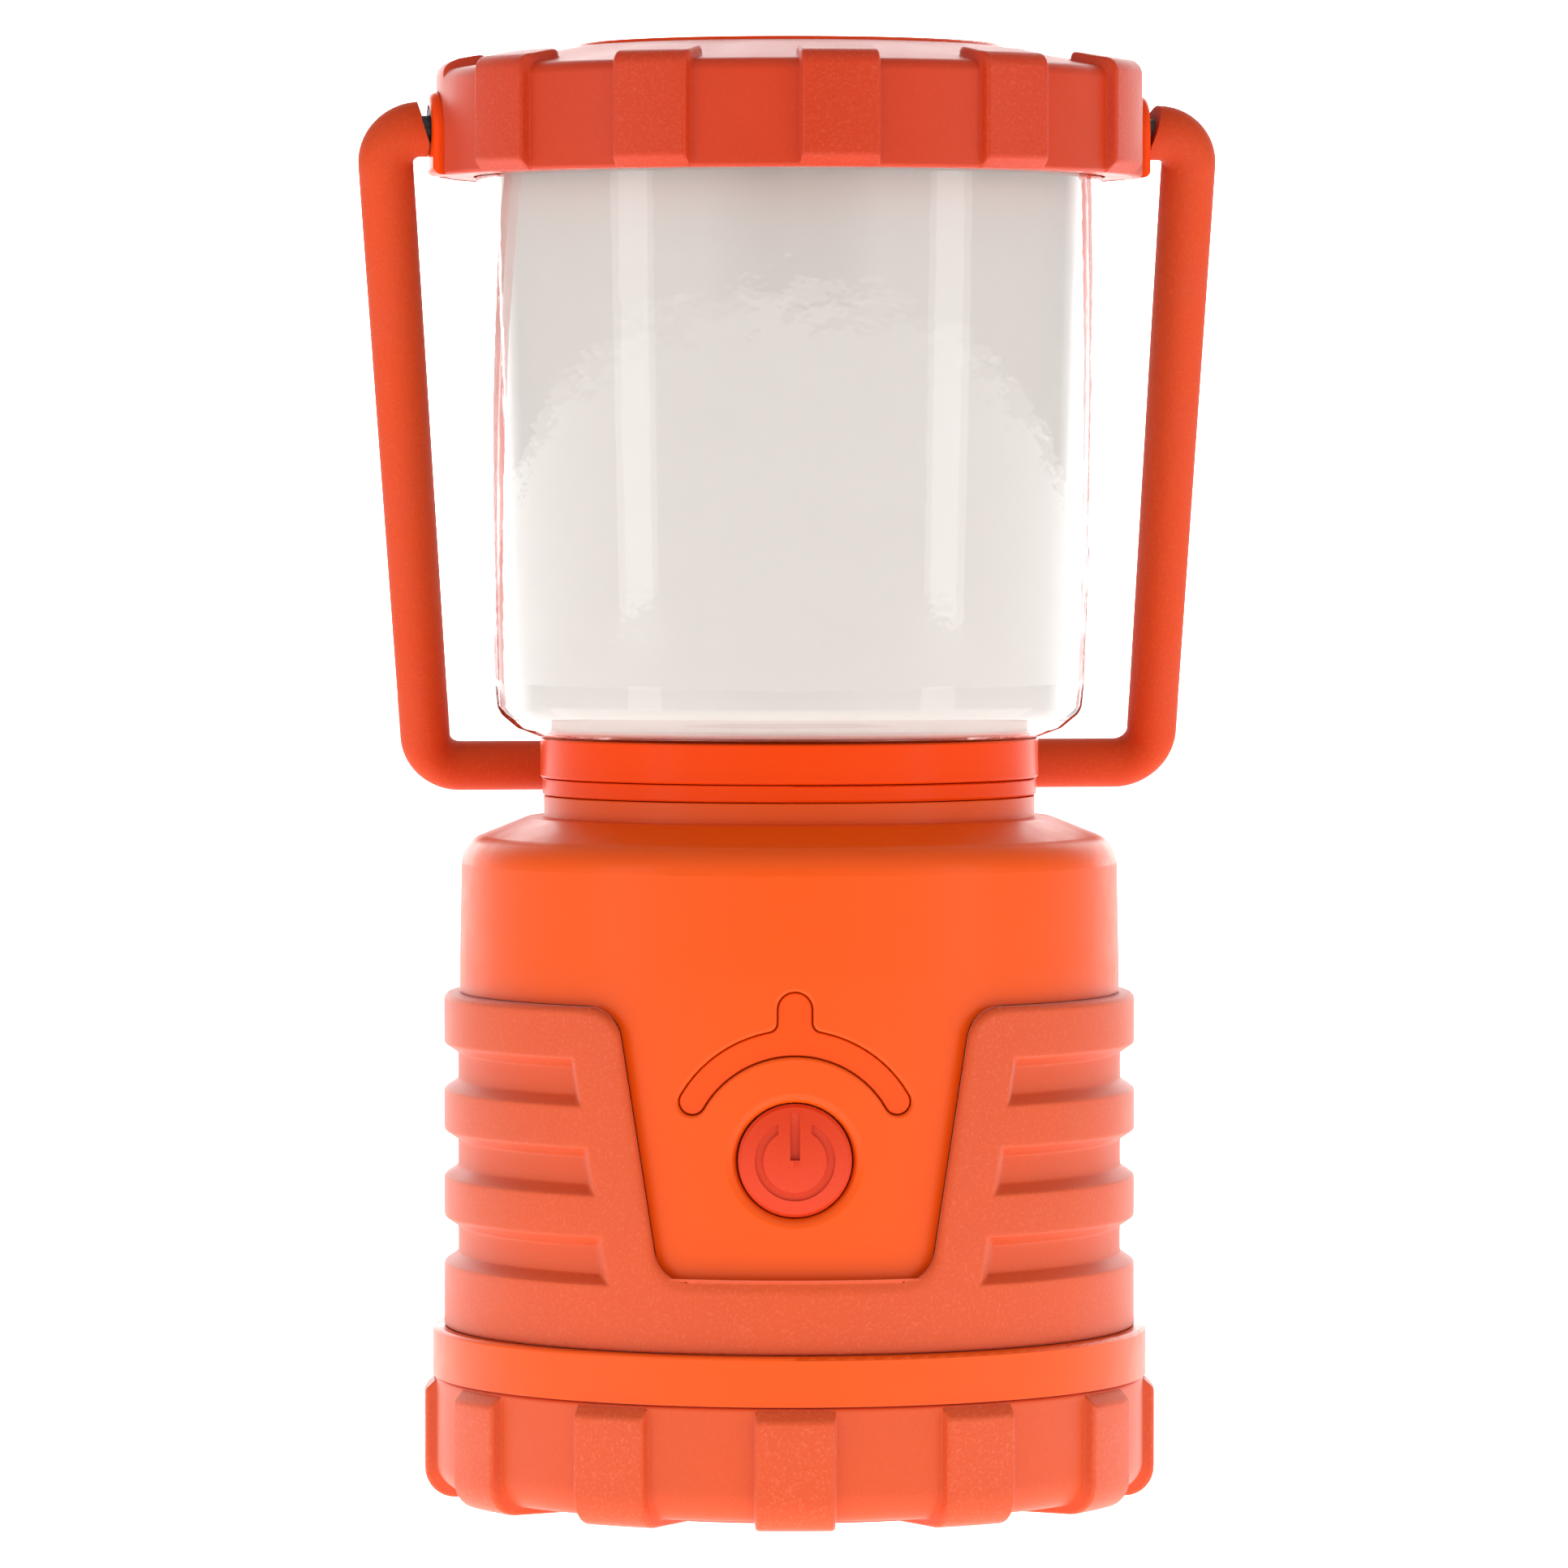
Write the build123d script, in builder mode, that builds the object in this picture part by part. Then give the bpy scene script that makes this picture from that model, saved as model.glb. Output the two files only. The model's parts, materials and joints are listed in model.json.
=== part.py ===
from build123d import *
import os
from math import cos, hypot, radians, sin, sqrt, tan

# Battery LED area lantern: a clear globe that screws onto the neck of the body, a bail handle
# hinged in the cap, a rubber grip, a push button, three D cells and a screw-on base cover with
# a fold-out hook. Lengths are in millimetres.
# Frame: the origin is the centre of the plane that the feet stand on, +Z points up through the
# globe, and the power button faces -Y. The globe, cap and handle sit turned by head_angle
# about +Z, where their thread seats.

os.makedirs("parts", exist_ok=True)

# Driving dimensions
total_height = 184.15
head_angle = 7.0
fit = 0.05
rib_count = 12

# Base cover
cover_rib_r = 46.5
cover_skin_r = 45.1
cover_shell_r = 43.8
cover_bore_r = 42.1
cover_top = 15.35
cover_rib_width = 9.85
foot_height = 1.0
foot_ring_r = 31.0
cover_underside = 2.2
cover_floor = 4.0

# Body
flange_r = 45.4
flange_bottom = 15.5
flange_top = 21.7
skirt_r = 40.75
skirt_bore_r = 38.9
skirt_bottom = 9.0
under_grip_r = 40.7
under_grip_bore_r = 38.7
body_r = 41.9
body_top_r = 41.62
body_bore_r = 39.7
grip_top = 64.15
shoulder_r = 33.4
shoulder_top = 86.3
shoulder_slope = 21.6
neck_r = 31.2
neck_top = 89.05
spigot_r = 27.2
spigot_bore_r = 25.2
spigot_top = 96.5
ceiling = 84.4

# Grip and front window
grip_r = 43.9
groove_floor_r = 42.1
groove_width = 3.5
groove_chamfer = 1.15
groove_pitch = 11.0
top_groove_z = 54.75
groove_count = 3
window_bottom = 30.5
window_bottom_half = 16.6
window_top_half = 21.85
window_gap = 0.12
land_width = 7.5

# Button and indicator
button_z = 45.5
button_r = 7.0
button_rim = 41.35
button_crown = 42.15
button_hole_round = 1.2
symbol_floor = 41.35
symbol_r = 4.95
button_face_r = 6.6
stem_end = 34.6
stem_r = 1.5
switch_height = 3.2
switch_screw_heights = (34.6, 66.0)
indicator_r = 14.5
indicator_width = 3.15
indicator_half_angle = 60.4
indicator_face_r = 41.45
pocket_floor_r = 40.2
pocket_round = 0.4
taper_start = 68.0
stub_width = 4.2
stub_reach = 20.7
light_pipe_z = button_z + indicator_r
board_front = 30.2
board_thickness = 1.6

# Screw threads: three starts each, the lugs follow a helix
thread_starts = 3
head_lead = 12.0
cover_lead = 9.0

# Cells
cell_r = 17.1
cell_height = 61.5
can_height = 59.6
cell_bottom = 13.0
cell_circle_r = 20.4
cell_angles = (90, 210, 330)
gap_angles = (30, 150, 270)
cradle_r = 38.2
deck_bottom = cell_bottom + cell_height + 0.2
deck_top = deck_bottom + 2.0

# Head
collar_r = 31.65
collar_bottom = 91.35
globe_bottom = 96.45
globe_top = 172.6
cap_bottom = 167.4
cap_skin_r = 44.8
cap_frame_r = 43.45
cap_rib_r = 46.2
cap_rib_width = 9.75
disc_r = 26.95
roof_top = 182.0

# Handle
pivot_z = 173.3
pivot_r = 1.75
boss_r = 46.0
boss_width = 10.0
boss_round = 1.0
handle_lean = 23.5
handle_length = 88.9
handle_top_half = 51.7
handle_bar_half = 47.8
handle_skew = 5.1
wire_start = 41.6
sleeve_start = 46.7
sleeve_r = 3.5
handle_bend_top = 4.3
handle_bend_bottom = 4.8

# Hanging hook
hook_pin_x = -19.5
hook_z = 4.3
hook_rod_r = 1.5

# Planes of the turned head and of the bail handle
head_x = (cos(radians(head_angle)), sin(radians(head_angle)), 0)
head_y = (-sin(radians(head_angle)), cos(radians(head_angle)), 0)
head_plane = Plane((0, 0, 0), x_dir=head_x, z_dir=(0, 0, 1))
handle_plane = Plane(
    (0, 0, pivot_z),
    x_dir=head_x,
    z_dir=(
        head_y[0] * cos(radians(handle_lean)),
        head_y[1] * cos(radians(handle_lean)),
        sin(radians(handle_lean)),
    ),
)
# Plane through the button's axis: local x is the radius, local y points out of the front
button_plane = Plane((0, 0, button_z), x_dir=(1, 0, 0), z_dir=(0, 0, -1))
button_axis = Axis((0, 0, button_z), (0, -1, 0))


def turned(*corners, plane=Plane.XZ):
    """Half-section of a turned piece. A corner is (radius, height) or (radius, height, rounding)."""
    points = [corner[:2] for corner in corners]
    rounds = [corner[2] if len(corner) == 3 else 0 for corner in corners]
    with BuildSketch(plane) as half:
        with BuildLine():
            FilletPolyline(*points, radius=rounds, close=True)
        make_face()
    return half.sketch


def cap_middle(radius, centre_height, rim_height):
    """Middle point of the half-section of a spherical cap, given its centre and rim heights."""
    rise = rim_height - centre_height
    ball_r = (radius**2 + rise**2) / (2 * abs(rise))
    drop = ball_r - sqrt(ball_r**2 - radius**2 / 4)
    return (radius / 2, centre_height + (drop if rise > 0 else -drop))


def star(count, inner, outer, width, plane=Plane.XY, skip=()):
    """Radial bars around a centre, used to cut a turned ring into separate ribs."""
    with BuildSketch(plane) as bars:
        for index in range(count):
            if index not in skip:
                with PolarLocations((inner + outer) / 2, 1, start_angle=360 / count * index):
                    Rectangle(outer - inner, width)
    return bars.sketch


def thread_lug(radius, lead, degrees, reach, bury, root, tip):
    """One helical lug that starts at angle 0 and height 0. A negative reach points inward."""
    side = 1 if reach > 0 else -1
    with BuildPart() as lug:
        with BuildLine() as path:
            Helix(pitch=lead, height=lead * degrees / 360, radius=radius)
        with BuildSketch(Plane(path.line @ 0, x_dir=(1, 0, 0), z_dir=path.line % 0)):
            with BuildLine():
                Polyline(
                    (-side * bury, -root / 2),
                    (reach, -tip / 2),
                    (reach, tip / 2),
                    (-side * bury, root / 2),
                    close=True,
                )
            make_face()
        sweep(path=path.line, is_frenet=True)
    return lug.part


def lug_ring(lug, angle, height):
    """Places the lug once for each thread start."""
    return [
        Location((0, 0, height), (0, 0, angle + 360 / thread_starts * start)) * lug
        for start in range(thread_starts)
    ]


def screw(head_r, head_height, shaft_r, shaft_length):
    """Pan-head screw with a cross recess. The head's underside is at height 0, the shaft points down."""
    with BuildPart() as body:
        Cylinder(head_r, head_height, align=(Align.CENTER, Align.CENTER, Align.MIN))
        fillet(body.edges().filter_by(GeomType.CIRCLE).sort_by(Axis.Z)[-1], head_height * 0.4)
        Cylinder(shaft_r, shaft_length, align=(Align.CENTER, Align.CENTER, Align.MAX))
        with BuildSketch(Plane.XY.offset(head_height)):
            Rectangle(head_r * 1.1, head_r * 0.28)
            Rectangle(head_r * 0.28, head_r * 1.1)
        extrude(amount=-head_height * 0.55, mode=Mode.SUBTRACT)
    return body.part


def window_outline(gap):
    """Outline of the smooth front window, widened by gap, open at the top of the grip."""
    with BuildSketch(Plane.XZ) as outline:
        with BuildLine():
            FilletPolyline(
                (-window_bottom_half - gap, window_bottom - gap),
                (window_bottom_half + gap, window_bottom - gap),
                (window_top_half + gap, grip_top),
                (grip_r + 2, grip_top),
                (grip_r + 2, grip_top + 4),
                (-grip_r - 2, grip_top + 4),
                (-grip_r - 2, grip_top),
                (-window_top_half - gap, grip_top),
                radius=(3.0, 3.0, 4.4, 0, 0, 0, 0, 4.4),
                close=True,
            )
        make_face()
    return outline.sketch


def indicator_outline(gap):
    """Arc over the button with a short stub on top, widened by gap."""
    arc = CenterArc((0, button_z), indicator_r, 90 - indicator_half_angle, 2 * indicator_half_angle)
    with BuildSketch(Plane.XZ) as outline:
        SlotArc(arc, indicator_width + 2 * gap)
        stub_r = stub_width / 2 + gap
        stub_top = button_z + stub_reach - stub_width / 2
        with Locations((0, (light_pipe_z + stub_top) / 2)):
            Rectangle(2 * stub_r, stub_top - light_pipe_z)
        with Locations((0, stub_top)):
            Circle(stub_r)
        inner = outline.vertices().filter_by(
            lambda v: 1.0 < abs(v.X) < 3.0 and v.Z < light_pipe_z + 2.5
        )
        fillet(inner, 1.2)
    return outline.sketch


# ---------------------------------------------------------------- base cover

with BuildPart() as cover_shell:
    revolve(
        turned(
            (0, cover_underside + fit),
            (cover_shell_r - fit, cover_underside + fit, 2.55),
            (cover_shell_r - fit, cover_top - fit),
            (cover_bore_r, cover_top - fit),
            (cover_bore_r, cover_floor, 1.0),
            (0, cover_floor),
        ),
        axis=Axis.Z,
    )
    pocket_top = 6.4
    with BuildSketch(Plane.XY.offset(cover_floor - fit)):
        RectangleRounded(50, 16, 3)
    extrude(amount=pocket_top + 1.5 - cover_floor)
    with BuildSketch(Plane.XY.offset(cover_underside)):
        RectangleRounded(46, 12, 2)
    extrude(amount=pocket_top - cover_underside, mode=Mode.SUBTRACT)
    with BuildSketch(Plane.XZ.offset(-7.7)):
        with Locations((hook_pin_x, hook_z)):
            Circle(1.0 + fit)
    extrude(amount=15.4, mode=Mode.SUBTRACT)
    cover_lug = thread_lug(cover_bore_r, cover_lead, 45, -0.95, 0.4, 1.1, 0.8)
    add(lug_ring(cover_lug, 5, 11.6))
cover_shell.part.label = "cover_shell"
export_step(cover_shell.part, "parts/cover_shell.step")

with BuildPart() as cover_ribs:
    revolve(
        turned(
            (34.0, 0),
            (cover_rib_r, 0, 3.7),
            (cover_rib_r, 13.7),
            (cover_rib_r - 1.2, 14.9),
            (44.4, 14.9),
            (44.4, 3.5),
            (42.5, 1.5),
            (34.0, 1.5),
        ),
        axis=Axis.Z,
    )
    extrude(star(rib_count, 30, 50, cover_rib_width), amount=20, mode=Mode.INTERSECT)

with BuildPart() as cover_overmould:
    revolve(
        turned(
            (foot_ring_r, 0),
            (34.5, 0),
            (34.5, foot_height),
            (cover_skin_r, foot_height, 3.7),
            (cover_skin_r, cover_top, 0.4),
            (cover_shell_r, cover_top),
            (cover_shell_r, cover_underside, 2.6),
            (foot_ring_r, cover_underside),
        ),
        axis=Axis.Z,
    )
    add(cover_ribs.part)
cover_overmould.part.label = "cover_overmould"
export_step(cover_overmould.part, "parts/cover_overmould.step")

with BuildPart() as hanging_hook:
    with BuildLine(Plane.XY.offset(hook_z)) as hook_path:
        FilletPolyline(
            (hook_pin_x + 1.0, 0),
            (-10.0, 0),
            (-2.0, 4.0),
            (18.0, 4.0),
            (18.0, -4.0),
            (8.5, -4.0),
            radius=(8.0, 8.0, 3.9, 3.9),
        )
    with BuildSketch(Plane(hook_path.line @ 0, z_dir=(1, 0, 0))):
        Circle(hook_rod_r)
    sweep(path=hook_path.line)
    with BuildSketch(Plane.XZ.offset(-4.5)):
        with Locations((hook_pin_x, hook_z)):
            Circle(1.8)
    extrude(amount=9.0)
    with BuildSketch(Plane.XZ.offset(-4.5)):
        with Locations((hook_pin_x, hook_z)):
            Circle(1.0 + fit)
    extrude(amount=9.0, mode=Mode.SUBTRACT)
hanging_hook.part.label = "hanging_hook"
export_step(hanging_hook.part, "parts/hanging_hook.step")

with BuildPart() as hook_pin:
    with BuildSketch(Plane.XZ.offset(-7.6)):
        with Locations((hook_pin_x, hook_z)):
            Circle(1.0)
    extrude(amount=15.2)
hook_pin.part.label = "hook_pin"
export_step(hook_pin.part, "parts/hook_pin.step")

# ---------------------------------------------------------------- cell contacts in the base

plate_top = 9.9
contact_top = plate_top + 0.4

with BuildPart() as contact_plate:
    revolve(
        turned((0, 8.3), (34.0, 8.3), (34.0, 4.15), (36.5, 4.15), (36.5, plate_top, 0.5), (0, plate_top)),
        axis=Axis.Z,
    )
    for angle in gap_angles:
        with BuildSketch(Plane.XY.offset(plate_top - 0.5)):
            with PolarLocations(34.7, 1, start_angle=angle):
                Rectangle(3.0, 6.0)
        extrude(amount=8.0)
contact_plate.part.label = "contact_plate"
export_step(contact_plate.part, "parts/contact_plate.step")

with BuildPart() as bottom_contacts:
    for angle in cell_angles:
        with BuildSketch(Plane.XY.offset(plate_top)):
            with PolarLocations(cell_circle_r, 1, start_angle=angle):
                Circle(9.0)
        extrude(amount=0.4)
    with BuildSketch(Plane.XY.offset(plate_top)):
        with Locations((0, -cell_circle_r / 2)):
            Rectangle(2 * cell_circle_r * cos(radians(30)), 6.0)
    extrude(amount=0.4)
bottom_contacts.part.label = "bottom_contacts"
export_step(bottom_contacts.part, "parts/bottom_contacts.step")

spring_wire_r = 0.55
spring_rise = cell_bottom - contact_top - 2 * spring_wire_r - 2 * fit

with BuildPart() as spring_coil:
    with BuildLine() as coil_path:
        Helix(
            pitch=spring_rise / 2,
            height=spring_rise,
            radius=8.0,
            center=(0, 0, contact_top + spring_wire_r + fit),
            cone_angle=-65,
        )
    with BuildSketch(Plane(coil_path.line @ 0, x_dir=(1, 0, 0), z_dir=coil_path.line % 0)):
        Circle(spring_wire_r)
    sweep(path=coil_path.line, is_frenet=True)

with BuildPart() as contact_springs:
    for angle in cell_angles:
        with PolarLocations(cell_circle_r, 1, start_angle=angle):
            add(spring_coil.part)
contact_springs.part.label = "contact_springs"
export_step(contact_springs.part, "parts/contact_springs.step")

# ---------------------------------------------------------------- cells and cradle


def cell_section(base, up):
    """Half-section of a D cell from its base height. A cell with up = -1 stands on its nub."""
    low = base if up > 0 else base + cell_height
    return turned(
        (0, low),
        (cell_r - 1.5, low),
        (cell_r - 1.5, low + up * 0.4),
        (cell_r, low + up * 0.4, 0.5),
        (cell_r, low + up * can_height, 0.5),
        (cell_r - 1.6, low + up * can_height),
        (cell_r - 2.2, low + up * 58.9),
        (4.75, low + up * 59.5),
        (4.75, low + up * cell_height, 0.6),
        (0, low + up * cell_height),
    )


for index, angle in enumerate(cell_angles):
    with BuildPart() as cell:
        with PolarLocations(cell_circle_r, 1, start_angle=angle):
            add(revolve(cell_section(cell_bottom, -1 if index == 1 else 1), axis=Axis.Z, mode=Mode.PRIVATE))
    cell.part.label = f"d_cell_{index + 1}"
    export_step(cell.part, f"parts/d_cell_{index + 1}.step")

boss_circle_r = 33.0
post_circle_r = 24.0
switch_lead_y = -26.4
driver_bottom = deck_top + 1.9
driver_top = driver_bottom + board_thickness

with BuildPart() as battery_cradle:
    for angle in cell_angles:
        with BuildSketch(Plane.XY.offset(cell_bottom + 0.2)):
            with PolarLocations(cell_circle_r, 1, start_angle=angle):
                Circle(cell_r + 1.1)
        extrude(amount=deck_bottom - cell_bottom - 0.2)
    revolve(turned((31.0, 13.2), (cradle_r, 13.2), (cradle_r, 16.2), (31.0, 16.2)), axis=Axis.Z)
    Cylinder(cradle_r, 200, mode=Mode.INTERSECT)
    for angle in cell_angles:
        with BuildSketch(Plane.XY.offset(cell_bottom)):
            with PolarLocations(cell_circle_r, 1, start_angle=angle):
                Circle(cell_r + 0.3)
        extrude(amount=deck_bottom - cell_bottom, mode=Mode.SUBTRACT)
    with BuildSketch(Plane.XY.offset(deck_bottom)):
        Circle(cradle_r)
    extrude(amount=deck_top - deck_bottom)
    for angle in gap_angles:
        with BuildSketch(Plane.XY.offset(cell_bottom)):
            with PolarLocations(34.7, 1, start_angle=angle):
                Rectangle(3.7, 6.7)
        extrude(amount=4, mode=Mode.SUBTRACT)
        with BuildSketch(Plane.XY.offset(deck_bottom)):
            with PolarLocations(boss_circle_r, 1, start_angle=angle):
                Circle(1.6)
        extrude(amount=deck_top - deck_bottom, mode=Mode.SUBTRACT)
    for angle in cell_angles:
        with BuildSketch(Plane.XY.offset(deck_top)):
            with PolarLocations(post_circle_r, 1, start_angle=angle):
                Circle(2.6)
        extrude(amount=driver_bottom - deck_top)
        with BuildSketch(Plane.XY.offset(deck_bottom + 0.6)):
            with PolarLocations(post_circle_r, 1, start_angle=angle):
                Circle(1.0)
        extrude(amount=driver_bottom - deck_bottom, mode=Mode.SUBTRACT)
    with BuildSketch(Plane.XY.offset(deck_bottom)):
        with Locations((4.0, switch_lead_y)):
            SlotOverall(4.6, 2.0)
    extrude(amount=deck_top - deck_bottom, mode=Mode.SUBTRACT)
battery_cradle.part.label = "battery_cradle"
export_step(battery_cradle.part, "parts/battery_cradle.step")

with BuildPart() as top_contacts:
    for angle in cell_angles:
        with BuildSketch(Plane.XY.offset(deck_bottom - 0.15)):
            with PolarLocations(cell_circle_r, 1, start_angle=angle):
                Circle(6.0)
        extrude(amount=0.15)
top_contacts.part.label = "top_contacts"
export_step(top_contacts.part, "parts/top_contacts.step")

cradle_screw = Rot(180, 0, 0) * screw(2.8, 2.0, 1.45, 8.0)
with BuildPart() as cradle_screws:
    for angle in gap_angles:
        with PolarLocations(boss_circle_r, 1, start_angle=angle):
            add(Pos(0, 0, deck_bottom) * cradle_screw)
cradle_screws.part.label = "cradle_screws"
export_step(cradle_screws.part, "parts/cradle_screws.step")

# ---------------------------------------------------------------- body housing

cone_corner_z = shoulder_top - (body_top_r - shoulder_r) * tan(radians(shoulder_slope))

with BuildPart() as window_pad:
    revolve(
        turned(
            (under_grip_r - 0.5, window_bottom - 2),
            (body_r, window_bottom - 2),
            (body_r, grip_top),
            (under_grip_r - 0.5, grip_top),
        ),
        axis=Axis.Z,
    )
    extrude(window_outline(0), amount=60, both=True, mode=Mode.INTERSECT)

with BuildPart() as indicator_pocket:
    extrude(indicator_outline(window_gap), amount=60)
    Cylinder(pocket_floor_r - fit, 400, mode=Mode.SUBTRACT)


def at_radius(edge, radius):
    """Does the edge lie on a cylinder around the lantern's axis?"""
    return all(abs(hypot(point.X, point.Y) - radius) < 0.01 for point in (edge @ 0, edge @ 0.5, edge @ 1))


def around_button(edge):
    point = edge @ 0.5
    return at_radius(edge, body_r) and point.Y < 0 and hypot(point.X, point.Z - button_z) < button_r + 1


def around_insert(edge):
    point = edge @ 0.5
    from_button = hypot(point.X, point.Z - button_z)
    near = button_r + 1 < from_button < stub_reach + 1 and point.Z > 48
    return at_radius(edge, body_r) and point.Y < 0 and near


with BuildPart() as body_housing:
    revolve(
        turned(
            (skirt_bore_r, skirt_bottom),
            (skirt_r, skirt_bottom),
            (skirt_r, flange_bottom),
            (flange_r, flange_bottom),
            (flange_r, flange_top, 0.5),
            (under_grip_r, flange_top),
            (under_grip_r, grip_top),
            (body_r, grip_top),
            (body_r, taper_start),
            (body_top_r, cone_corner_z, 3.85),
            (shoulder_r, shoulder_top),
            (neck_r, shoulder_top + 0.1),
            (neck_r, neck_top, 0.2),
            (spigot_r, neck_top),
            (spigot_r, spigot_top),
            (spigot_bore_r, spigot_top),
            (spigot_bore_r, ceiling),
            (32.0, ceiling),
            (39.5, 81.3),
            (body_bore_r, 66.0),
            (under_grip_bore_r, 62.0),
            (under_grip_bore_r, flange_bottom),
            (skirt_bore_r, flange_bottom - 1),
        ),
        axis=Axis.Z,
    )
    add(window_pad.part)
    # Button's hole and the pocket of the curved insert, both with a round outer edge
    with BuildSketch(Plane.XZ.offset(30)):
        with Locations((0, button_z)):
            Circle(button_r + 0.15)
    extrude(amount=20, mode=Mode.SUBTRACT)
    add(indicator_pocket.part, mode=Mode.SUBTRACT)
    fillet(body_housing.edges().filter_by(around_button), button_hole_round)
    fillet(body_housing.edges().filter_by(around_insert), pocket_round)
    # Screw bosses behind the button for the switch board
    for height in switch_screw_heights:
        with BuildSketch(Plane.XZ.offset(board_front)):
            with Locations((0, height)):
                Circle(2.4)
        extrude(amount=40.0 - board_front)
        with BuildSketch(Plane.XZ.offset(board_front)):
            with Locations((0, height)):
                Circle(1.05)
        extrude(amount=6.5, mode=Mode.SUBTRACT)
    # Hole of the light pipe
    with BuildSketch(Plane.XZ.offset(37)):
        with Locations((0, light_pipe_z)):
            Circle(1.6)
    extrude(amount=4, mode=Mode.SUBTRACT)
    # Bosses for the cradle screws
    for angle in gap_angles:
        with BuildSketch(Plane.XY.offset(deck_top + fit)):
            with PolarLocations(boss_circle_r, 1, start_angle=angle):
                Circle(3.0)
        extrude(amount=ceiling + 0.6 - deck_top)
        with BuildSketch(Plane.XY.offset(deck_top)):
            with PolarLocations(boss_circle_r, 1, start_angle=angle):
                Circle(1.5)
        extrude(amount=6.5, mode=Mode.SUBTRACT)
    # Thread lugs: outside the neck for the globe, outside the skirt for the base cover
    neck_lug = thread_lug(spigot_r, head_lead, 110, 1.0, 0.4, 1.3, 0.9)
    add(lug_ring(neck_lug, 0, 92.0))
    skirt_lug = thread_lug(skirt_r, cover_lead, 110, 1.0, 0.4, 1.1, 0.8)
    add(lug_ring(skirt_lug, 0, 10.0))
body_housing.part.label = "body_housing"
export_step(body_housing.part, "parts/body_housing.step")

with BuildPart() as cover_gasket:
    revolve(
        turned((skirt_r + fit, 14.3), (41.75, 14.3, 0.3), (41.75, 15.45, 0.3), (skirt_r + fit, 15.45)),
        axis=Axis.Z,
    )
cover_gasket.part.label = "cover_gasket"
export_step(cover_gasket.part, "parts/cover_gasket.step")

# ---------------------------------------------------------------- grip

with BuildPart() as groove_cutter:
    for index in range(groove_count):
        middle = top_groove_z - groove_pitch * index
        half = groove_width / 2
        revolve(
            turned(
                (groove_floor_r, middle - half),
                (groove_floor_r, middle + half),
                (grip_r, middle + half + groove_chamfer),
                (grip_r + 1, middle + half + groove_chamfer),
                (grip_r + 1, middle - half - groove_chamfer),
                (grip_r, middle - half - groove_chamfer),
            ),
            axis=Axis.Z,
        )
    with BuildSketch(Plane.XZ):
        with BuildLine():
            slant = (window_top_half - window_bottom_half) / (grip_top - window_bottom)
            Polyline(
                (-window_bottom_half - land_width + slant * window_bottom, 0),
                (window_bottom_half + land_width - slant * window_bottom, 0),
                (window_top_half + land_width, grip_top),
                (-window_top_half - land_width, grip_top),
                close=True,
            )
        make_face()
    extrude(amount=60, both=True, mode=Mode.SUBTRACT)

with BuildPart() as grip_sleeve:
    revolve(
        turned(
            (under_grip_r + fit, flange_top + fit),
            (grip_r, flange_top + fit),
            (grip_r, grip_top - 1.1),
            (grip_r - 0.9, grip_top - fit),
            (under_grip_r + fit, grip_top - fit),
        ),
        axis=Axis.Z,
    )
    extrude(window_outline(window_gap), amount=60, both=True, mode=Mode.SUBTRACT)
    add(groove_cutter.part, mode=Mode.SUBTRACT)
grip_sleeve.part.label = "grip_sleeve"
export_step(grip_sleeve.part, "parts/grip_sleeve.step")

# ---------------------------------------------------------------- button, switch, indicator

with BuildPart() as power_button:
    with BuildSketch(button_plane):
        with BuildLine():
            Polyline(
                (0, button_crown), (0, stem_end), (1.6, stem_end), (1.6, 36.4), (8.2, 36.4), (8.2, 37.4),
                (button_r, 37.4), (button_r, button_rim - 0.4), (button_face_r, button_rim),
            )
            ThreePointArc(
                (button_face_r, button_rim),
                cap_middle(button_face_r, button_crown, button_rim),
                (0, button_crown),
            )
        make_face()
    revolve(axis=button_axis)
    with BuildSketch(Plane.XZ.offset(symbol_floor)):
        with Locations((0, button_z)):
            Circle(symbol_r)
            Circle(symbol_r - 1.05, mode=Mode.SUBTRACT)
        with Locations((0, button_z + 4.0)):
            Rectangle(4.1, 4.0, mode=Mode.SUBTRACT)
        with Locations((0, button_z + 3.0)):
            Rectangle(1.2, 5.8)
    extrude(amount=2, mode=Mode.SUBTRACT)
power_button.part.label = "power_button"
export_step(power_button.part, "parts/power_button.step")

plunger_seat = 32.4

with BuildPart() as switch_plunger:
    with BuildSketch(Plane.XZ.offset(plunger_seat)):
        with Locations((0, button_z)):
            Circle(stem_r)
    extrude(amount=stem_end - fit - plunger_seat)
switch_plunger.part.label = "switch_plunger"
export_step(switch_plunger.part, "parts/switch_plunger.step")

with BuildPart() as push_switch:
    with BuildSketch(Plane.XZ.offset(board_front)):
        with Locations((0, button_z)):
            RectangleRounded(7.0, 7.0, 0.6)
    extrude(amount=switch_height)
    with BuildSketch(Plane.XZ.offset(31.0)):
        with Locations((0, button_z)):
            Circle(stem_r + fit)
    extrude(amount=5, mode=Mode.SUBTRACT)
push_switch.part.label = "push_switch"
export_step(push_switch.part, "parts/push_switch.step")

with BuildPart() as switch_board:
    with BuildSketch(Plane.XZ.offset(board_front - board_thickness)):
        with Locations((0, 50.3)):
            RectangleRounded(18.0, 36.6, 1.5)
        for height in switch_screw_heights:
            with Locations((0, height)):
                Circle(1.2, mode=Mode.SUBTRACT)
    extrude(amount=board_thickness)
switch_board.part.label = "switch_board"
export_step(switch_board.part, "parts/switch_board.step")

switch_screw = Rot(-90, 0, 0) * screw(2.2, 1.5, 1.0, 6.0)
with BuildPart() as switch_screws:
    for height in switch_screw_heights:
        add(Pos(0, -board_front + board_thickness, height) * switch_screw)
switch_screws.part.label = "switch_screws"
export_step(switch_screws.part, "parts/switch_screws.step")

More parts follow.
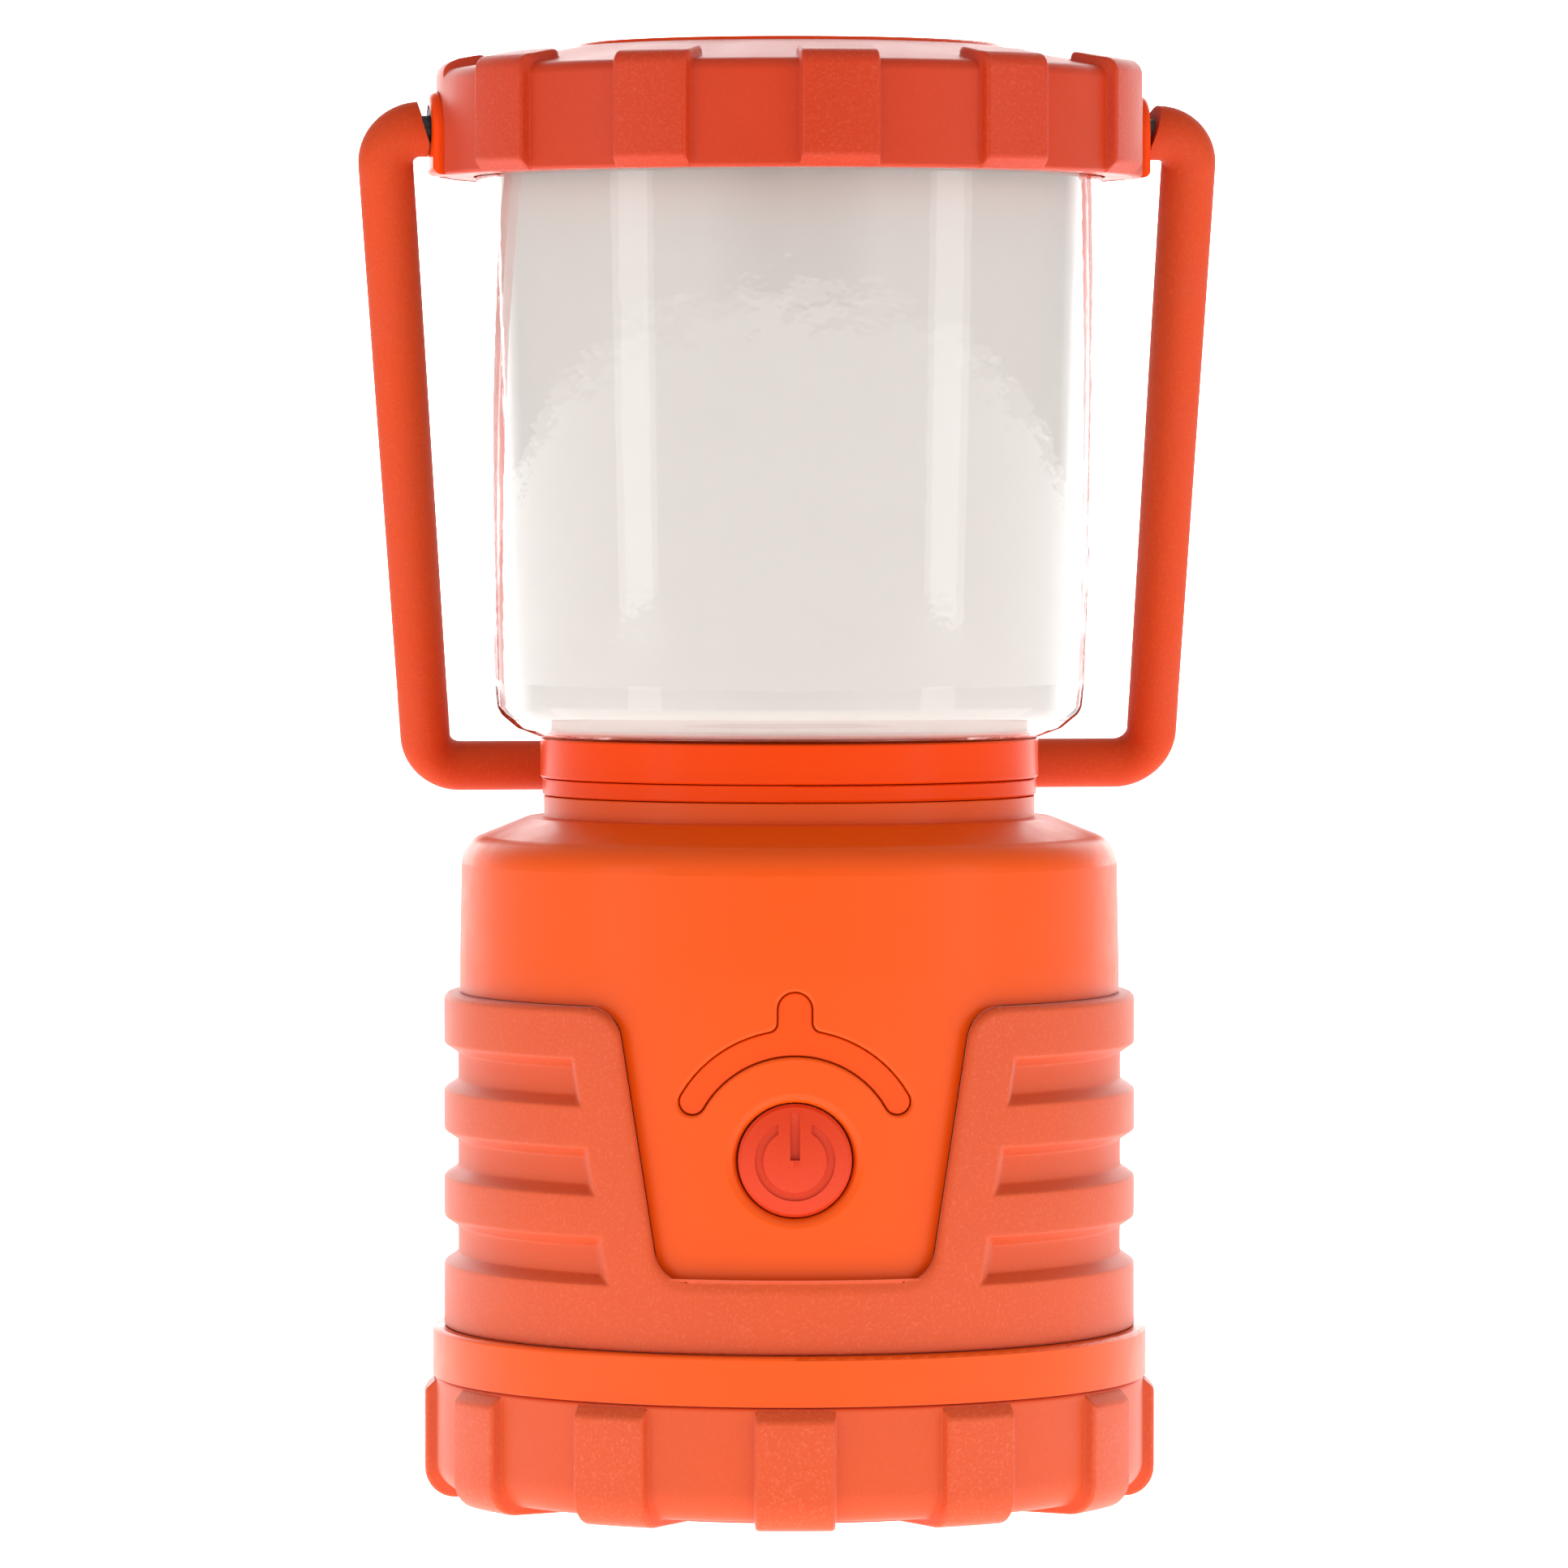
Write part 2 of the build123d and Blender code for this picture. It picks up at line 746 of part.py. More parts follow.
with BuildPart() as indicator_led:
    with BuildSketch(Plane.XZ.offset(board_front)):
        with Locations((0, light_pipe_z)):
            Rectangle(3.0, 2.0)
    extrude(amount=0.8)
indicator_led.part.label = "indicator_led"
export_step(indicator_led.part, "parts/indicator_led.step")

with BuildPart() as indicator_insert:
    extrude(indicator_outline(0), amount=60)
    Cylinder(indicator_face_r, 400, mode=Mode.INTERSECT)
    Cylinder(pocket_floor_r, 400, mode=Mode.SUBTRACT)
    fillet(indicator_insert.edges().filter_by(lambda edge: at_radius(edge, indicator_face_r)), 0.25)
    with BuildSketch(Plane.XZ.offset(31.3)):
        with Locations((0, light_pipe_z)):
            Circle(1.5)
    extrude(amount=9.2)
indicator_insert.part.label = "indicator_insert"
export_step(indicator_insert.part, "parts/indicator_insert.step")

# ---------------------------------------------------------------- driver board

with BuildPart() as driver_board:
    with BuildSketch(Plane.XY.offset(driver_bottom)):
        Circle(28.0)
        for angle in cell_angles:
            with PolarLocations(post_circle_r, 1, start_angle=angle):
                Circle(1.2, mode=Mode.SUBTRACT)
    extrude(amount=board_thickness)
driver_board.part.label = "driver_board"
export_step(driver_board.part, "parts/driver_board.step")

with BuildPart() as driver_parts:
    with BuildSketch(Plane.XY.offset(driver_top)):
        with Locations((10, 4)):
            RectangleRounded(9, 9, 1.5)
    extrude(amount=3.2)
    with BuildSketch(Plane.XY.offset(driver_top)):
        with Locations((-10, 8), (-10, -4)):
            Circle(3.2)
    extrude(amount=6.5)
    with BuildSketch(Plane.XY.offset(driver_top)):
        with Locations((4, -12), (14, -10)):
            Rectangle(6, 5)
    extrude(amount=1.6)
driver_parts.part.label = "driver_parts"
export_step(driver_parts.part, "parts/driver_parts.step")

driver_screw = screw(2.2, 1.5, 0.95, 4.6)
with BuildPart() as driver_screws:
    for angle in cell_angles:
        with PolarLocations(post_circle_r, 1, start_angle=angle):
            add(Pos(0, 0, driver_top) * driver_screw)
driver_screws.part.label = "driver_screws"
export_step(driver_screws.part, "parts/driver_screws.step")

# ---------------------------------------------------------------- LED unit on the neck

sink_bottom = 93.0
sink_top = 97.4
led_board_top = sink_top + board_thickness
lead_y = 5.5

with BuildPart() as heat_sink:
    revolve(
        turned(
            (0, sink_bottom),
            (spigot_bore_r - 0.1, sink_bottom),
            (spigot_bore_r - 0.1, spigot_top + fit),
            (spigot_r - 0.1, spigot_top + fit),
            (spigot_r - 0.1, sink_top),
            (0, sink_top),
        ),
        axis=Axis.Z,
    )
    extrude(star(10, 8.5, 24.5, 1.4, Plane.XY.offset(89.0)), amount=sink_bottom - 89.0)
    with BuildSketch(Plane.XY.offset(sink_bottom)):
        with Locations((0, lead_y)):
            SlotOverall(6.0, 2.2)
    extrude(amount=6, mode=Mode.SUBTRACT)
    with BuildSketch(Plane.XY.offset(sink_bottom)):
        with PolarLocations(20.3, 3, start_angle=90):
            Circle(1.05)
    extrude(amount=6, mode=Mode.SUBTRACT)
heat_sink.part.label = "heat_sink"
export_step(heat_sink.part, "parts/heat_sink.step")

with BuildPart() as led_board:
    with BuildSketch(Plane.XY.offset(sink_top)):
        Circle(22.6)
        with PolarLocations(20.3, 3, start_angle=90):
            Circle(1.2, mode=Mode.SUBTRACT)
    extrude(amount=board_thickness)
led_board.part.label = "led_board"
export_step(led_board.part, "parts/led_board.step")

with BuildPart() as leds:
    with BuildSketch(Plane.XY.offset(led_board_top)):
        Rectangle(3.5, 3.5)
        with PolarLocations(7.5, 6):
            Rectangle(3.5, 3.5)
        with PolarLocations(15.0, 12):
            Rectangle(3.5, 3.5)
    extrude(amount=0.8)
leds.part.label = "leds"
export_step(leds.part, "parts/leds.step")

led_screw = screw(1.9, 1.3, 1.0, 5.0)
with BuildPart() as led_board_screws:
    with PolarLocations(20.3, 3, start_angle=90):
        add(Pos(0, 0, led_board_top) * led_screw)
led_board_screws.part.label = "led_board_screws"
export_step(led_board_screws.part, "parts/led_board_screws.step")

with BuildPart() as led_lens:
    with BuildSketch(Plane.XZ):
        with BuildLine():
            Polyline((0, 103.3), (0, 104.5))
            ThreePointArc((0, 104.5), cap_middle(26.0, 104.5, 100.4), (26.0, 100.4))
            Polyline((26.0, 100.4), (26.9, 99.6), (26.9, sink_top), (25.0, sink_top), (25.0, 99.5))
            ThreePointArc((25.0, 99.5), cap_middle(25.0, 103.3, 99.5), (0, 103.3))
        make_face()
    revolve(axis=Axis.Z)
led_lens.part.label = "led_lens"
export_step(led_lens.part, "parts/led_lens.step")

with BuildPart() as led_leads:
    for side in (-1, 1):
        with BuildLine() as lead_path:
            FilletPolyline(
                (side * 6.0, -1.0, driver_top),
                (side * 6.0, -1.0, 85.0),
                (side * 1.3, lead_y, 90.0),
                (side * 1.3, lead_y, sink_top),
                radius=3.0,
            )
        with BuildSketch(Plane(lead_path.line @ 0, z_dir=(0, 0, 1))):
            Circle(0.7)
        sweep(path=lead_path.line)
led_leads.part.label = "led_leads"
export_step(led_leads.part, "parts/led_leads.step")

with BuildPart() as switch_leads:
    for lead_x in (3.0, 5.0):
        with BuildLine() as lead_path:
            FilletPolyline(
                (lead_x, -board_front + board_thickness, 62.0),
                (lead_x, switch_lead_y, 62.0),
                (lead_x, switch_lead_y, driver_bottom),
                radius=1.8,
            )
        with BuildSketch(Plane(lead_path.line @ 0, z_dir=(0, 1, 0))):
            Circle(0.6)
        sweep(path=lead_path.line)
switch_leads.part.label = "switch_leads"
export_step(switch_leads.part, "parts/switch_leads.step")

# ---------------------------------------------------------------- globe, collar, neck ring

with BuildPart() as globe:
    with BuildSketch(Plane.XZ):
        with BuildLine():
            Polyline(
                (28.3, 94.5), (29.9, 94.5), (29.9, globe_bottom), (31.5, globe_bottom),
                (34.6, 97.7), (36.5, 99.25), (37.4, 101.0),
            )
            ThreePointArc((37.4, 101.0), (38.9, 138.0), (39.7, 165.0))
            Polyline(
                (39.7, 165.0), (39.7, 170.6), (40.9, 170.6), (40.9, globe_top), (37.1, globe_top),
                (37.1, 165.0),
            )
            ThreePointArc((37.1, 165.0), (36.35, 138.0), (34.9, 102.5))
            Polyline((34.9, 102.5), (33.9, 100.9), (32.3, 99.8), (28.3, 98.4), (28.3, 94.5))
        make_face()
    revolve(axis=Axis.Z)
globe.part.label = "globe"
export_step(globe.part, "parts/globe.step")

with BuildPart() as diffuser:
    with BuildSketch(Plane.XZ):
        with BuildLine():
            Polyline((28.6, 100.2), (33.2, 101.7), (34.4, 103.2))
            ThreePointArc((34.4, 103.2), (36.0, 138.0), (36.75, 165.0))
            Polyline((36.75, 165.0), (36.75, globe_top - 0.2), (35.55, globe_top - 0.2), (35.55, 165.0))
            ThreePointArc((35.55, 165.0), (34.8, 138.0), (33.3, 103.9))
            Polyline((33.3, 103.9), (32.6, 102.9), (28.6, 101.5), (28.6, 100.2))
        make_face()
    revolve(axis=Axis.Z)
diffuser.part.label = "diffuser"
export_step(diffuser.part, "parts/diffuser.step")

with BuildPart() as globe_collar:
    revolve(
        turned(
            (28.6, collar_bottom),
            (collar_r, collar_bottom, 0.35),
            (collar_r, globe_bottom - fit, 0.3),
            (30.0, globe_bottom - fit),
            (30.0, 94.4),
            (28.6, 94.4),
        ),
        axis=Axis.Z,
    )
    collar_lug = thread_lug(28.6, head_lead, 43, -1.0, 0.4, 1.3, 0.9)
    add(lug_ring(collar_lug, 65, 92.17))
globe_collar.part.label = "globe_collar"
export_step(globe_collar.part, "parts/globe_collar.step")

with BuildPart() as neck_ring:
    revolve(
        turned((28.9, 89.15), (31.4, 89.15, 0.3), (31.4, 91.25, 0.2), (28.9, 91.25)),
        axis=Axis.Z,
    )
neck_ring.part.label = "neck_ring"
export_step(neck_ring.part, "parts/neck_ring.step")

# ---------------------------------------------------------------- cap


def boss_outline(gap):
    """Upright outline of a pivot boss, square below and round on top."""
    side = Plane((0, 0, 0), x_dir=head_y, z_dir=head_x)
    round_z = 178.0 - boss_width / 2
    with BuildSketch(side) as outline:
        with Locations((0, round_z)):
            Circle(boss_width / 2 + gap)
        with Locations((0, (round_z + cap_bottom - 1) / 2)):
            Rectangle(boss_width + 2 * gap, round_z - cap_bottom + 1)
    return outline.sketch


with BuildPart() as boss_pair:
    extrude(boss_outline(0), amount=60, both=True)
    with BuildSketch(Plane.XY.offset(cap_bottom + fit)):
        Circle(boss_r)
        Circle(under_grip_r + 0.9, mode=Mode.SUBTRACT)
    extrude(amount=20, mode=Mode.INTERSECT)
    fillet(boss_pair.edges().filter_by(lambda edge: at_radius(edge, boss_r)), boss_round)

screw_circle_r = 20.0
roof_bottom = roof_top - 2.0

with BuildPart() as cap_frame:
    revolve(
        turned(
            (40.1, cap_bottom + fit),
            (cap_frame_r, cap_bottom + fit),
            (cap_frame_r, 178.7, 0.8),
            (27.0, roof_top),
            (0, roof_top),
            (0, roof_bottom),
            (27.0, roof_bottom),
            (38.6, 177.7),
            (38.6, 174.6),
            (41.2, 174.6),
            (41.2, 169.4),
            (40.1, 169.4),
        ),
        axis=Axis.Z,
    )
    add(boss_pair.part)
    with BuildSketch(Plane((0, 0, 0), x_dir=head_y, z_dir=head_x)):
        with Locations((0, pivot_z)):
            Circle(3.0 + fit)
    extrude(amount=60, both=True, mode=Mode.SUBTRACT)
    with BuildSketch(head_plane.offset(roof_bottom)):
        with PolarLocations(screw_circle_r, 3, start_angle=90):
            Circle(1.6)
    extrude(amount=5, mode=Mode.SUBTRACT)
    with BuildSketch(head_plane.offset(roof_top - 1.2)):
        with PolarLocations(screw_circle_r, 3, start_angle=90):
            Circle(3.2)
    extrude(amount=5, mode=Mode.SUBTRACT)
cap_frame.part.label = "cap_frame"
export_step(cap_frame.part, "parts/cap_frame.step")

with BuildPart() as pivot_bushes:
    for side in (-1, 1):
        with BuildSketch(Plane((0, 0, 0), x_dir=head_y, z_dir=head_x).offset(side * 43.6 - 2.25)):
            with Locations((0, pivot_z)):
                Circle(3.0)
                Circle(pivot_r + fit, mode=Mode.SUBTRACT)
        extrude(amount=4.5)
pivot_bushes.part.label = "pivot_bushes"
export_step(pivot_bushes.part, "parts/pivot_bushes.step")

with BuildPart() as cap_ribs:
    revolve(
        turned(
            (43.9, cap_bottom),
            (44.9, cap_bottom),
            (cap_rib_r, cap_bottom + 1.3),
            (cap_rib_r, 181.5, 0.8),
            (39.0, 182.75, 0.6),
            (39.0, 181.0),
            (43.9, 180.0),
        ),
        axis=Axis.Z,
    )
    extrude(
        star(rib_count, 34, 50, cap_rib_width, head_plane.offset(cap_bottom - 1), skip=(0, 6)),
        amount=20,
        mode=Mode.INTERSECT,
    )

# The two ribs above the pivots start over the round of the boss, on the sloped top
with BuildPart() as pivot_ribs:
    revolve(
        turned(
            (43.0, 178.2),
            (cap_skin_r, 179.2),
            (cap_skin_r, 181.5, 1.6),
            (39.0, 182.75, 0.6),
            (39.0, 181.0),
        ),
        axis=Axis.Z,
    )
    extrude(
        star(2, 34, 50, cap_rib_width, head_plane.offset(cap_bottom - 1)),
        amount=20,
        mode=Mode.INTERSECT,
    )

with BuildPart() as cap_overmould:
    revolve(
        turned(
            (cap_frame_r + fit, cap_bottom),
            (cap_skin_r, cap_bottom, 0.5),
            (cap_skin_r, 180.5, 1.0),
            (disc_r + 0.1, 183.75),
            (disc_r + 0.1, roof_top + fit),
            (27.2, roof_top + fit),
            (cap_frame_r + fit, 178.75, 0.8),
        ),
        axis=Axis.Z,
    )
    add(cap_ribs.part)
    add(pivot_ribs.part)
    extrude(boss_outline(0.1), amount=60, both=True, mode=Mode.SUBTRACT)
cap_overmould.part.label = "cap_overmould"
export_step(cap_overmould.part, "parts/cap_overmould.step")

with BuildPart() as top_disc:
    with BuildSketch(Plane.XY.offset(roof_top + fit)):
        Circle(disc_r)
    extrude(amount=total_height - roof_top - fit)
    fillet(top_disc.edges().filter_by(GeomType.CIRCLE).sort_by(Axis.Z)[-1], 0.35)
top_disc.part.label = "top_disc"
export_step(top_disc.part, "parts/top_disc.step")

with BuildPart() as top_reflector:
    revolve(
        turned(
            (0, 163.0),
            (3.0, 163.6, 1.0),
            (24.0, 172.8, 2.0),
            (38.3, 172.8),
            (38.3, 174.0),
            (23.6, 174.0),
            (0, 164.4),
        ),
        axis=Axis.Z,
    )
    with BuildSketch(head_plane.offset(roof_bottom - fit)):
        with PolarLocations(screw_circle_r, 3, start_angle=90):
            Circle(3.2)
    extrude(amount=-7.6)
    with BuildSketch(head_plane.offset(roof_bottom)):
        with PolarLocations(screw_circle_r, 3, start_angle=90):
            Circle(1.5)
    extrude(amount=-6.0, mode=Mode.SUBTRACT)
top_reflector.part.label = "top_reflector"
export_step(top_reflector.part, "parts/top_reflector.step")

cap_screw = screw(3.0, 1.1, 1.45, 6.0)
with BuildPart() as cap_screws:
    with Locations(head_plane):
        with PolarLocations(screw_circle_r, 3, start_angle=90):
            add(Pos(0, 0, roof_top - 1.2) * cap_screw)
cap_screws.part.label = "cap_screws"
export_step(cap_screws.part, "parts/cap_screws.step")

with BuildPart() as globe_gasket:
    revolve(
        turned((38.9, 172.7), (41.0, 172.7, 0.4), (41.0, 174.5, 0.4), (38.9, 174.5)),
        axis=Axis.Z,
    )
globe_gasket.part.label = "globe_gasket"
export_step(globe_gasket.part, "parts/globe_gasket.step")

# ---------------------------------------------------------------- bail handle


def bail_path(start):
    """U-shaped centre line in the handle's plane, from one pivot end to the other.

    The bar hangs a little to one side, within the play of the pivots.
    """
    with BuildLine(handle_plane) as path:
        FilletPolyline(
            (-start, 0),
            (-handle_top_half, 0),
            (-handle_bar_half + handle_skew, handle_length),
            (handle_bar_half + handle_skew, handle_length),
            (handle_top_half, 0),
            (start, 0),
            radius=(handle_bend_top, handle_bend_bottom, handle_bend_bottom, handle_bend_top),
        )
    return path.line


with BuildPart() as handle_wire:
    wire_path = bail_path(wire_start)
    with BuildSketch(Plane(wire_path @ 0, z_dir=wire_path % 0)):
        Circle(pivot_r)
    sweep(path=wire_path)
handle_wire.part.label = "handle_wire"
export_step(handle_wire.part, "parts/handle_wire.step")

with BuildPart() as handle_sleeve:
    sleeve_path = bail_path(sleeve_start)
    with BuildSketch(Plane(sleeve_path @ 0, z_dir=sleeve_path % 0)):
        Circle(sleeve_r)
        Circle(pivot_r + fit, mode=Mode.SUBTRACT)
    sweep(path=sleeve_path)
handle_sleeve.part.label = "handle_sleeve"
export_step(handle_sleeve.part, "parts/handle_sleeve.step")
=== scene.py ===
"""Looks of the battery area lantern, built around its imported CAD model.

Lengths in the mesh code are in millimetres, in the frame of the CAD model: +Z up, the power
button faces -Y. new_piece() turns them into metres.
"""
import json
from math import atan, atan2, cos, pi, radians, sin, sqrt

import bpy
import numpy as np
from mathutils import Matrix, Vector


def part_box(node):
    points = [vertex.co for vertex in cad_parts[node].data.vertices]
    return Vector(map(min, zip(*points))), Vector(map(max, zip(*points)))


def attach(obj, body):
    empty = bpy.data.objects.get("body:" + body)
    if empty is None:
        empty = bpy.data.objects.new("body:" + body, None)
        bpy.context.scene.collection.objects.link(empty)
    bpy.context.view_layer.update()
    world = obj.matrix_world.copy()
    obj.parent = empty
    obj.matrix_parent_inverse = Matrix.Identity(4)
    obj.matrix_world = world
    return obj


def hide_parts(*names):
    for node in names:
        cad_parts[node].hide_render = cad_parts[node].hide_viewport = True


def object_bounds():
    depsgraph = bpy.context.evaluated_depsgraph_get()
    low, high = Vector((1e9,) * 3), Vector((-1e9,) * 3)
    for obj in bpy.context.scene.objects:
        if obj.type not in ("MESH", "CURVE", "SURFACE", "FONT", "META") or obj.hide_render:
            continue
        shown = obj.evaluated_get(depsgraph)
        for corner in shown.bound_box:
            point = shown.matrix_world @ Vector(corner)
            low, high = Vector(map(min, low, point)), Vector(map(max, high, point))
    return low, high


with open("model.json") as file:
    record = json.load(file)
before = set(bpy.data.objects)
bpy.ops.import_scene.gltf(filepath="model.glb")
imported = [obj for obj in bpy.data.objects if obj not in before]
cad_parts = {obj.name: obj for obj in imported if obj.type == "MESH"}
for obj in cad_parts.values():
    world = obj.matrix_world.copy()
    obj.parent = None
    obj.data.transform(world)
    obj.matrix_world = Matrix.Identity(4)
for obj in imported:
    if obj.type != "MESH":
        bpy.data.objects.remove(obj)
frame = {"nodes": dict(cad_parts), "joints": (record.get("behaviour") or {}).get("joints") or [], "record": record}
cad_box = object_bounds()
MM = 0.001

joints = {joint["name"]: joint for joint in frame["joints"]}


def span(node):
    """Lowest and highest corner of a CAD node, in millimetres."""
    low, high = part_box(node)
    return np.array(low) / MM, np.array(high) / MM


def outer_radius(node):
    """Radius of a node that is round about Z."""
    low, high = span(node)
    return float(high[1] - low[1]) / 2


# ---------------------------------------------------------------- sizes, taken from the frame

head_angle = atan2(joints["handle_swing"]["axis"][1], joints["handle_swing"]["axis"][0])
pivot_z = joints["handle_swing"]["pos_m"][2] / MM

cover_rib_r = outer_radius("cover_overmould")
cover_rib_height = 1.4
cover_skin_r = cover_rib_r - cover_rib_height
cover_shell_r = outer_radius("cover_shell") + 0.05
cover_top = float(span("cover_overmould")[1][2])
cover_rib_width = 9.85

grip_low, grip_high = span("grip_sleeve")
grip_r = outer_radius("grip_sleeve")
grip_bottom = float(grip_low[2])
grip_top = float(grip_high[2])
grip_bore_r = 40.75

cap_bottom = float(span("cap_overmould")[0][2])
cap_rib_r = 46.2
cap_skin_r = cap_rib_r - 1.4
cap_rib_width = 9.75
cap_bore_r = 43.5
disc_r = outer_radius("top_disc")

globe_low, globe_high = span("globe")
rib_count = 12

# ---------------------------------------------------------------- shape helpers


def rounded(*corners, steps=6, closed=True):
    """Outline through (radius, height) corners. A third number rounds that corner with an arc."""
    outline = []
    count = len(corners)
    for index, corner in enumerate(corners):
        here = np.array(corner[:2], float)
        rounding = corner[2] if len(corner) == 3 else 0
        inside = closed or 0 < index < count - 1
        if rounding == 0 or not inside:
            outline.append(here)
            continue
        back = np.array(corners[index - 1][:2], float) - here
        ahead = np.array(corners[(index + 1) % count][:2], float) - here
        back /= np.linalg.norm(back)
        ahead /= np.linalg.norm(ahead)
        half = np.arccos(np.clip(back @ ahead, -1, 1)) / 2
        middle = here + (back + ahead) / np.linalg.norm(back + ahead) * rounding / sin(half)
        start = here + back * rounding / np.tan(half) - middle
        stop = here + ahead * rounding / np.tan(half) - middle
        sweep = pi - 2 * half
        for share in np.linspace(0, 1, steps + 1):
            weight_start = sin((1 - share) * sweep) / sin(sweep)
            weight_stop = sin(share * sweep) / sin(sweep)
            outline.append(middle + weight_start * start + weight_stop * stop)
    return np.array(outline)


def turn(radius, angle, height):
    """Points in space. The angle is 0 at the front, -Y, and grows towards +X."""
    radius, angle, height = np.broadcast_arrays(radius, angle, height)
    return np.stack([radius * np.sin(angle), -radius * np.cos(angle), height], axis=-1)


def grid_faces(rows, columns, close_rows=False, close_columns=False):
    """Quads of a grid of points, numbered row by row."""
    index = np.arange(rows * columns).reshape(rows, columns)
    if close_rows:
        index = np.vstack([index, index[:1]])
    if close_columns:
        index = np.hstack([index, index[:, :1]])
    quads = np.stack([index[:-1, :-1], index[:-1, 1:], index[1:, 1:], index[1:, :-1]], axis=-1)
    return quads.reshape(-1, 4)


def new_piece(name, points, faces, material, body, nodes, grain=None, sharp=40):
    """A mesh piece that rides a body and stands for CAD nodes. grain is a value for each point."""
    mesh = bpy.data.meshes.new(name)
    mesh.from_pydata((np.asarray(points).reshape(-1, 3) * MM).tolist(), [], [list(f) for f in faces])
    mesh.polygons.foreach_set("use_smooth", [True] * len(mesh.polygons))
    if grain is not None:
        layer = mesh.attributes.new("grain", "FLOAT", "POINT")
        layer.data.foreach_set("value", np.asarray(grain, np.float32).ravel())
    mesh.set_sharp_from_angle(angle=radians(sharp))
    mesh.materials.append(material)
    piece = bpy.data.objects.new(name, mesh)
    bpy.context.scene.collection.objects.link(piece)
    normals = piece.modifiers.new("normals", "WEIGHTED_NORMAL")
    normals.keep_sharp = True
    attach(piece, body)
    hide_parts(*nodes)
    return piece


def turned_piece(name, outline, material, body, nodes, segments=256, sharp=40):
    """A piece turned about Z from a closed outline of (radius, height) points."""
    outline = np.asarray(outline)
    angles = np.linspace(0, 2 * pi, segments, endpoint=False)
    points = turn(outline[:, None, 0], angles[None, :], outline[:, None, 1])
    faces = grid_faces(len(outline), segments, close_rows=True, close_columns=True)
    return new_piece(name, points, faces, material, body, nodes, sharp=sharp)


def soft_ramp(distance, width, blur):
    """Rises from 0 to 1 over width, with both corners rounded by blur."""
    low = np.sqrt(distance**2 + blur**2)
    high = np.sqrt((distance - width) ** 2 + blur**2)
    return (low - high + width) / (2 * width)


def edge_drop(distance, rounding):
    """How far a round edge falls away, at a distance from the edge."""
    inside = np.clip(rounding - distance, 0, rounding)
    return rounding - np.sqrt(rounding**2 - inside**2)


# ---------------------------------------------------------------- materials


def add(tree, kind, inputs=None, **settings):
    """Adds a node. An input is a value or another node's output socket."""
    node = tree.nodes.new(kind)
    for key, value in settings.items():
        setattr(node, key, value)
    for key, value in (inputs or {}).items():
        if isinstance(value, bpy.types.NodeSocket):
            tree.links.new(value, node.inputs[key])
        else:
            node.inputs[key].default_value = value
    return node


def blank(name):
    """A material with only a Principled shader, and the object's own coordinates."""
    material = bpy.data.materials.new(name)
    material.use_nodes = True
    tree = material.node_tree
    tree.nodes.clear()
    shader = add(tree, "ShaderNodeBsdfPrincipled")
    output = add(tree, "ShaderNodeOutputMaterial")
    tree.links.new(shader.outputs["BSDF"], output.inputs["Surface"])
    where = add(tree, "ShaderNodeTexCoord").outputs["Object"]
    return material, tree, shader, where


def noise(tree, where, size_mm, detail=3.0, roughness=0.5):
    """Noise with features of about size_mm."""
    settings = {"Vector": where, "Scale": 1 / (size_mm * MM), "Detail": detail, "Roughness": roughness}
    return add(tree, "ShaderNodeTexNoise", settings).outputs["Fac"]


def between(tree, value, low, high, from_low=0.3, from_high=0.7):
    """Maps a value linearly, so that from_low gives low and from_high gives high."""
    settings = {"Value": value, "From Min": from_low, "From Max": from_high, "To Min": low, "To Max": high}
    return add(tree, "ShaderNodeMapRange", settings).outputs["Result"]


def times(tree, first, second):
    """Product of two values."""
    return add(tree, "ShaderNodeMath", {0: first, 1: second}, operation="MULTIPLY").outputs[0]


def blend_colours(tree, factor, first, second):
    """Mixes two colours, each a node's output or a tuple."""
    mix = add(tree, "ShaderNodeMix", data_type="RGBA")
    for socket, value in zip((mix.inputs[0], mix.inputs[6], mix.inputs[7]), (factor, first, second)):
        if isinstance(value, bpy.types.NodeSocket):
            tree.links.new(value, socket)
        elif isinstance(value, (int, float)):
            socket.default_value = value
        else:
            socket.default_value = (*value, 1.0)
    return mix.outputs[2]


def scaled(colour, factor):
    """The same colour, lighter or darker."""
    return tuple(min(1.0, channel * factor) for channel in colour)


def bump(tree, height, depth_mm, normal=None):
    """Surface relief that is depth_mm deep, on top of another relief if one is given."""
    settings = {"Height": height, "Strength": 1.0, "Distance": depth_mm * MM}
    if normal is not None:
        settings["Normal"] = normal
    return add(tree, "ShaderNodeBump", settings).outputs["Normal"]


def moulded(name, colour, rough, grain_mm, depth_mm, vary, specular=0.5):
    """Moulded or finished stock: slow colour drift, fine grain in the surface and uneven gloss."""
    material, tree, shader, where = blank(name)
    drift = noise(tree, where, 14.0, detail=2.0)
    fine = noise(tree, where, grain_mm, detail=2.0)
    tone = blend_colours(tree, drift, scaled(colour, 1 - vary), scaled(colour, 1 + vary))
    tree.links.new(tone, shader.inputs["Base Color"])
    uneven = noise(tree, where, 3.0, detail=4.0)
    tree.links.new(between(tree, uneven, rough * 0.9, rough * 1.12), shader.inputs["Roughness"])
    tree.links.new(bump(tree, fine, depth_mm), shader.inputs["Normal"])
    shader.inputs["Specular IOR Level"].default_value = specular
    return material


